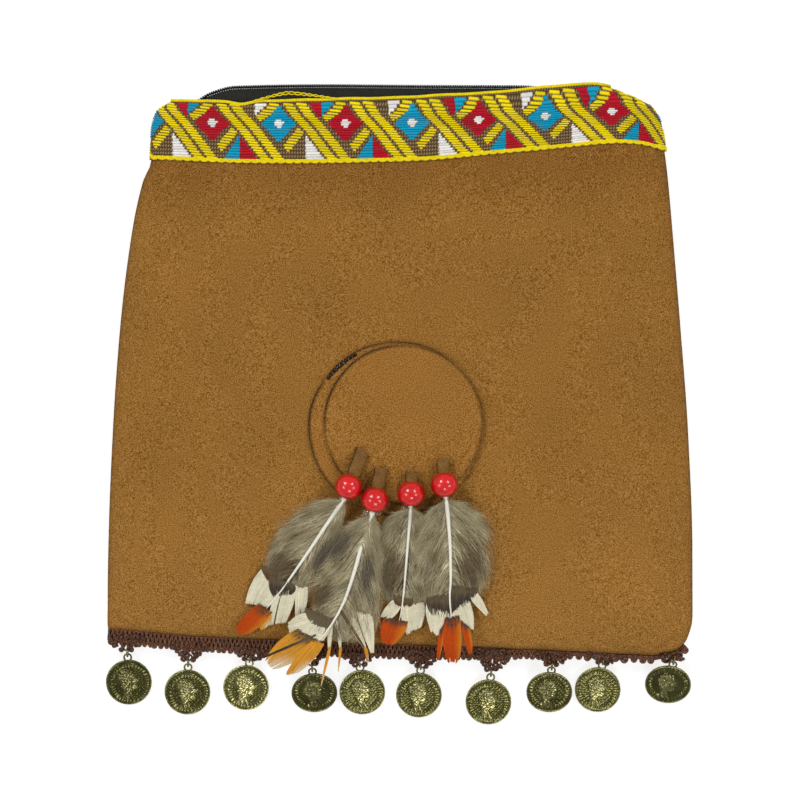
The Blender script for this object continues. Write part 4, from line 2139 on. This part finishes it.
@dataclass
class CrochetTrim:
    """Dark crochet braid along the bottom seam, with picots and a knotted cluster for each coin."""

    coins: CoinDrops
    depths: SmoothTable = SmoothTable({
        0.0: (4.6,), 0.2: (4.8,), 0.5: (4.6,), 0.66: (3.2,), 0.78: (1.4,), 0.84: (0.8,), 1.0: (1.2,)})
    corner: float = 0.95
    corner_share: float = 0.03
    seam_gap: float = 0.7
    droop: float = 0.3
    stitch_pitch: float = 0.85
    picot_pitch: float = 2.3
    knot_pitch: float = 1.9
    knots_until: float = 113.0
    tucked: float = 2.6
    yarn: float = 0.36
    plait_pitch: float = 2.3
    station_pitch: float = 0.45
    stitch_radius: float = 0.46
    knot_radius: float = 0.62
    eyelet_from_ring: float = 2.15
    brown: Array = dye(98, 58, 32)
    tones: dict[str, float] = field(default_factory=lambda: {"backing": 0.3, "knots": 0.7})

    def edge(self, t: Array) -> Array:
        """Gives points of the bottom seam, on round the right corner.

        Args:
            t: shares along the braid.

        Returns:
            Points in mm.
        """
        c = np.minimum(t / self.corner, 1.0)
        s = self.corner_share * np.maximum(0.0, (t - self.corner) / (1 - self.corner))
        return np.concatenate([SURFACE.plan(c, s), SURFACE.seam_height(c, s)[..., None]], axis=-1)

    def at(self, t: Array, share: Array, lift: Array) -> Array:
        """Gives points on the braid.

        Args:
            t: shares along the braid.
            share: shares of its depth below the seam.
            lift: mm upwards.

        Returns:
            Points in mm.
        """
        t = np.clip(t, 0.0, 1.0)
        run = unit((self.edge(np.minimum(t + STEP, 1)) - self.edge(np.maximum(t - STEP, 0)))[..., :2])
        off = self.seam_gap + self.depths(t)[..., 0] * share
        points = self.edge(t)
        points[..., 0] += run[..., 1] * off
        points[..., 1] -= run[..., 0] * off
        points[..., 2] += lift - self.droop * share
        return points

    def length(self) -> float:
        """Measures the braid."""
        return float(walked(self.edge(np.linspace(0, 1, 400)))[-1])

    def chains(self) -> list[Mesh]:
        """Makes the backing and the plaited rows that run along the braid.

        Returns:
            The meshes.
        """
        length = self.length()
        t = np.linspace(0.002, 0.998, int(length / self.station_pitch))
        turn = t * length / self.plait_pitch * ROUND
        plies = []
        for row in (-0.12, 0.82):
            for phase in (0.0, 2.09, 4.19):
                share = row + 0.1 * np.sin(turn + phase)
                plies.append(self.at(t, share, 0.2 + 0.3 * np.sin(2 * (turn + phase))))

        def shape(u: Array, v: Array) -> Array:
            """Bends the backing."""
            return self.at(u, lerp(0.85, -self.tucked / self.depths(u)[..., 0], v), -0.25 + 0.0 * u)

        return [tubes_mesh("chains", np.stack(plies), self.yarn), grid_mesh("backing", 300, 3, shape)]

    def stitches(self) -> Mesh:
        """Makes the upright stitches between the plaited rows.

        Returns:
            The mesh.
        """
        length = self.length()
        starts = np.arange(0.8, length - 4.0, self.stitch_pitch) / length
        f = np.linspace(0, 1, 8)
        lean = 0.3 * np.where(np.arange(len(starts)) % 2, 1, -1)[:, None] / length
        t = starts[:, None] + lean * np.sin(ROUND * f)
        lift = 0.1 + 0.3 * np.abs(np.sin(ROUND * f)) + 0.0 * t
        return tubes_mesh("stitches", self.at(t, -0.2 + 1.05 * f + 0.0 * t, lift), self.stitch_radius)

    @staticmethod
    def beaded(t: Array) -> Array:
        """Gives how far the braid has narrowed to a row of larger knots, near its right end."""
        return smoothstep(t, 0.7, 0.82)

    def picots(self) -> Mesh:
        """Makes the small uneven knots along the lower edge.

        Returns:
            The mesh.
        """
        length, rng = self.length(), np.random.default_rng(9)
        walk = [1.2]
        while walk[-1] < length - 4.0:
            walk.append(walk[-1] + self.picot_pitch * (1 + 0.6 * self.beaded(walk[-1] / length)))
        starts = (walk + rng.uniform(-0.4, 0.4, len(walk))) / length
        angle = circle(12)
        size = (rng.uniform(0.4, 0.62, len(starts)) * (1 + 0.55 * self.beaded(starts)))[:, None]
        t = starts[:, None] + size * np.cos(angle) / length
        share = 0.9 + size * (np.sin(angle) + 0.75) / self.depths(starts)
        lift = 0.2 + 0.3 * np.cos(2 * angle + size * 9) + 0.0 * t
        thick = np.broadcast_to(0.3 + 0.6 * size, t.shape)
        return tubes_mesh("picots", self.at(t, share, lift), thick, closed=True)

    def tail_pose(self, spot: CoinSpot) -> tuple[Array, float]:
        """Gives the pose of a coin's tail, with its origin in the jump ring.

        Args:
            spot: the coin's row.

        Returns:
            The pose, and the tail's length in mm.
        """
        turn = math.radians(spot.turn)
        ring = self.coins.placement(spot) @ np.array([0, self.coins.ring_at, 0, 1.0])
        t = np.linspace(0, self.corner, 600)
        line = self.at(t, np.ones_like(t), np.zeros_like(t))
        band = line[np.argmin(np.abs(line[:, 0] - ring[0]))]
        level = max((band[1] + 0.8 - ring[1]) / math.cos(turn), 1.0)
        slope = math.atan2(band[2] - ring[2], level)
        return np.column_stack([rotation(turn, slope), ring]), math.hypot(level, band[2] - ring[2])

    def clusters(self) -> list[Mesh]:
        """Makes the knotted loops that hold the coins, with their eyelets.

        Returns:
            The meshes.
        """
        knots, eyelets = [], []
        rng = np.random.default_rng(17)
        angle = circle(14)
        for spot in COIN_SPOTS:
            pose, length = self.tail_pose(spot)
            up = spot.knots
            while up < length + 2.0:
                spread = 2.0 + 4.2 * np.clip((up - spot.knots) / max(length - spot.knots, 2.5), 0.0, 1.0)
                row = max(1, round(2 * spread / self.knot_pitch))
                for over in np.linspace(-spread, spread, row) if row > 1 else (0.0,):
                    tilt, spin, size = rng.uniform(-0.9, 0.9), rng.uniform(0, 3.1), rng.uniform(0.5, 0.95)
                    ring = size * np.stack([np.cos(angle), np.sin(angle), 0.3 * np.sin(2 * angle)], axis=1)
                    jolt = rng.uniform(-0.5, 0.5, 3)
                    path = ring @ rotation(spin, tilt).T + np.array([over, up, 0.5]) + jolt
                    path = carried(path, pose)
                    if path[:, 0].mean() < self.knots_until:
                        knots.append(path)
                up += 0.85 * self.knot_pitch
            eyelet = self.coins.lug_radius * np.stack([np.cos(angle), np.sin(angle), 0 * angle], axis=1)
            eyelets.append(carried(eyelet + (0, self.eyelet_from_ring, 0), pose))
        return [tubes_mesh("knots", np.stack(knots), self.knot_radius, closed=True),
                tubes_mesh("eyelets", np.stack(eyelets), self.coins.wire, 8, closed=True)]

    def build(self) -> None:
        """Makes the braid as one piece."""
        meshes = [*self.chains(), self.stitches(), self.picots(), *self.clusters()]
        for number, mesh in enumerate(meshes):
            points = coordinates(mesh)
            tone = 1.05 + 0.9 * wander(points[:, 0], points[:, 1] + points[:, 2], 1.6, number)
            tone = tone * self.tones.get(mesh.name.split(".")[0], 1.0)
            paint(mesh, np.clip(self.brown * tone[:, None], 0.004, 1))
        place(joined("crochet_trim", meshes), BRAID_YARN, Slot.BRAID, "trim")


# Studio
@dataclass
class Studio:
    """Camera straight above the pouch, a pale floor and soft light."""

    camera_height: float = 1.21
    lens: float = 135.0
    sensor: float = 36.0
    floor_half: float = 1.5
    floor_gap: float = 0.0002
    sky: float = 0.34
    floor_glow: float = 0.78
    floor_grey: tuple[float, ...] = (0.35, 0.35, 0.35, 1.0)
    lamps: tuple[tuple[tuple[float, float, float], float, float], ...] = (
        ((-0.55, 0.6, 0.9), 0.34, 4.2), ((0.6, 0.5, 0.95), 0.34, 3.0), ((-0.75, -0.15, 0.85), 0.3, 1.6),
        ((0.75, -0.2, 0.85), 0.3, 1.4), ((0.1, -0.75, 0.9), 0.3, 2.0))

    def build(self) -> None:
        """Makes the camera, the lights and the floor."""
        scene = bpy.context.scene
        scene.view_settings.view_transform = "Standard"
        data = bpy.data.cameras.new("camera")
        data.lens = self.lens
        data.sensor_width = self.sensor
        camera = show("camera", data)
        camera.location = (0.0, 0.0, self.camera_height)
        scene.camera = camera
        world = bpy.data.worlds.new("soft_sky")
        world.use_nodes = True
        bench = NodeBench(world.node_tree)
        bench.feed(bench.tree.nodes["Background"], {"Color": WHITE, "Strength": self.sky})
        scene.world = world
        for number, (at, size, power) in enumerate(self.lamps):
            lamp = bpy.data.lights.new(f"softbox_{number}", "AREA")
            lamp.size = size
            lamp.energy = power
            holder = show(lamp.name, lamp)
            holder.location = at
            holder.rotation_euler = (-Vector(at)).to_track_quat("-Z", "Y").to_euler()
        self.floor()

    def floor(self) -> None:
        """Makes the pale floor."""
        bm = bmesh.new()
        bmesh.ops.create_grid(bm, x_segments=1, y_segments=1, size=self.floor_half)
        mesh = write("floor", bm)
        material = bpy.data.materials.new("pale_floor")
        material.use_nodes = True
        bench = NodeBench(material.node_tree)
        bench.feed(bench.tree.nodes["Principled BSDF"], {
            "Base Color": self.floor_grey, "Roughness": 0.9,
            "Emission Color": WHITE, "Emission Strength": self.floor_glow})
        mesh.materials.append(material)
        floor = show("floor", mesh)
        floor.location.z = CAD_BOX[0].z - self.floor_gap


def main() -> None:
    """Builds the pouch and its studio, and keeps both boxes for comparison."""
    logging.basicConfig(level=logging.INFO, format="%(message)s")
    Studio().build()
    SuedePouch().build()
    RibbonBand(RibbonPath()).build()
    ZipClosure().build()
    SuedeDisc("patch_lower", x=-1.8, y=-11.2, radius=34.6, lift=0.3).build()
    SuedeDisc("patch_upper", x=1.2, y=-9.6, radius=31.6, lift=1.7).build()
    for drop in feather_drops():
        drop.build()
    GlueDrops().build()
    coins = CoinDrops()
    coins.build()
    CrochetTrim(coins).build()


if __name__ == "__main__":
    main()
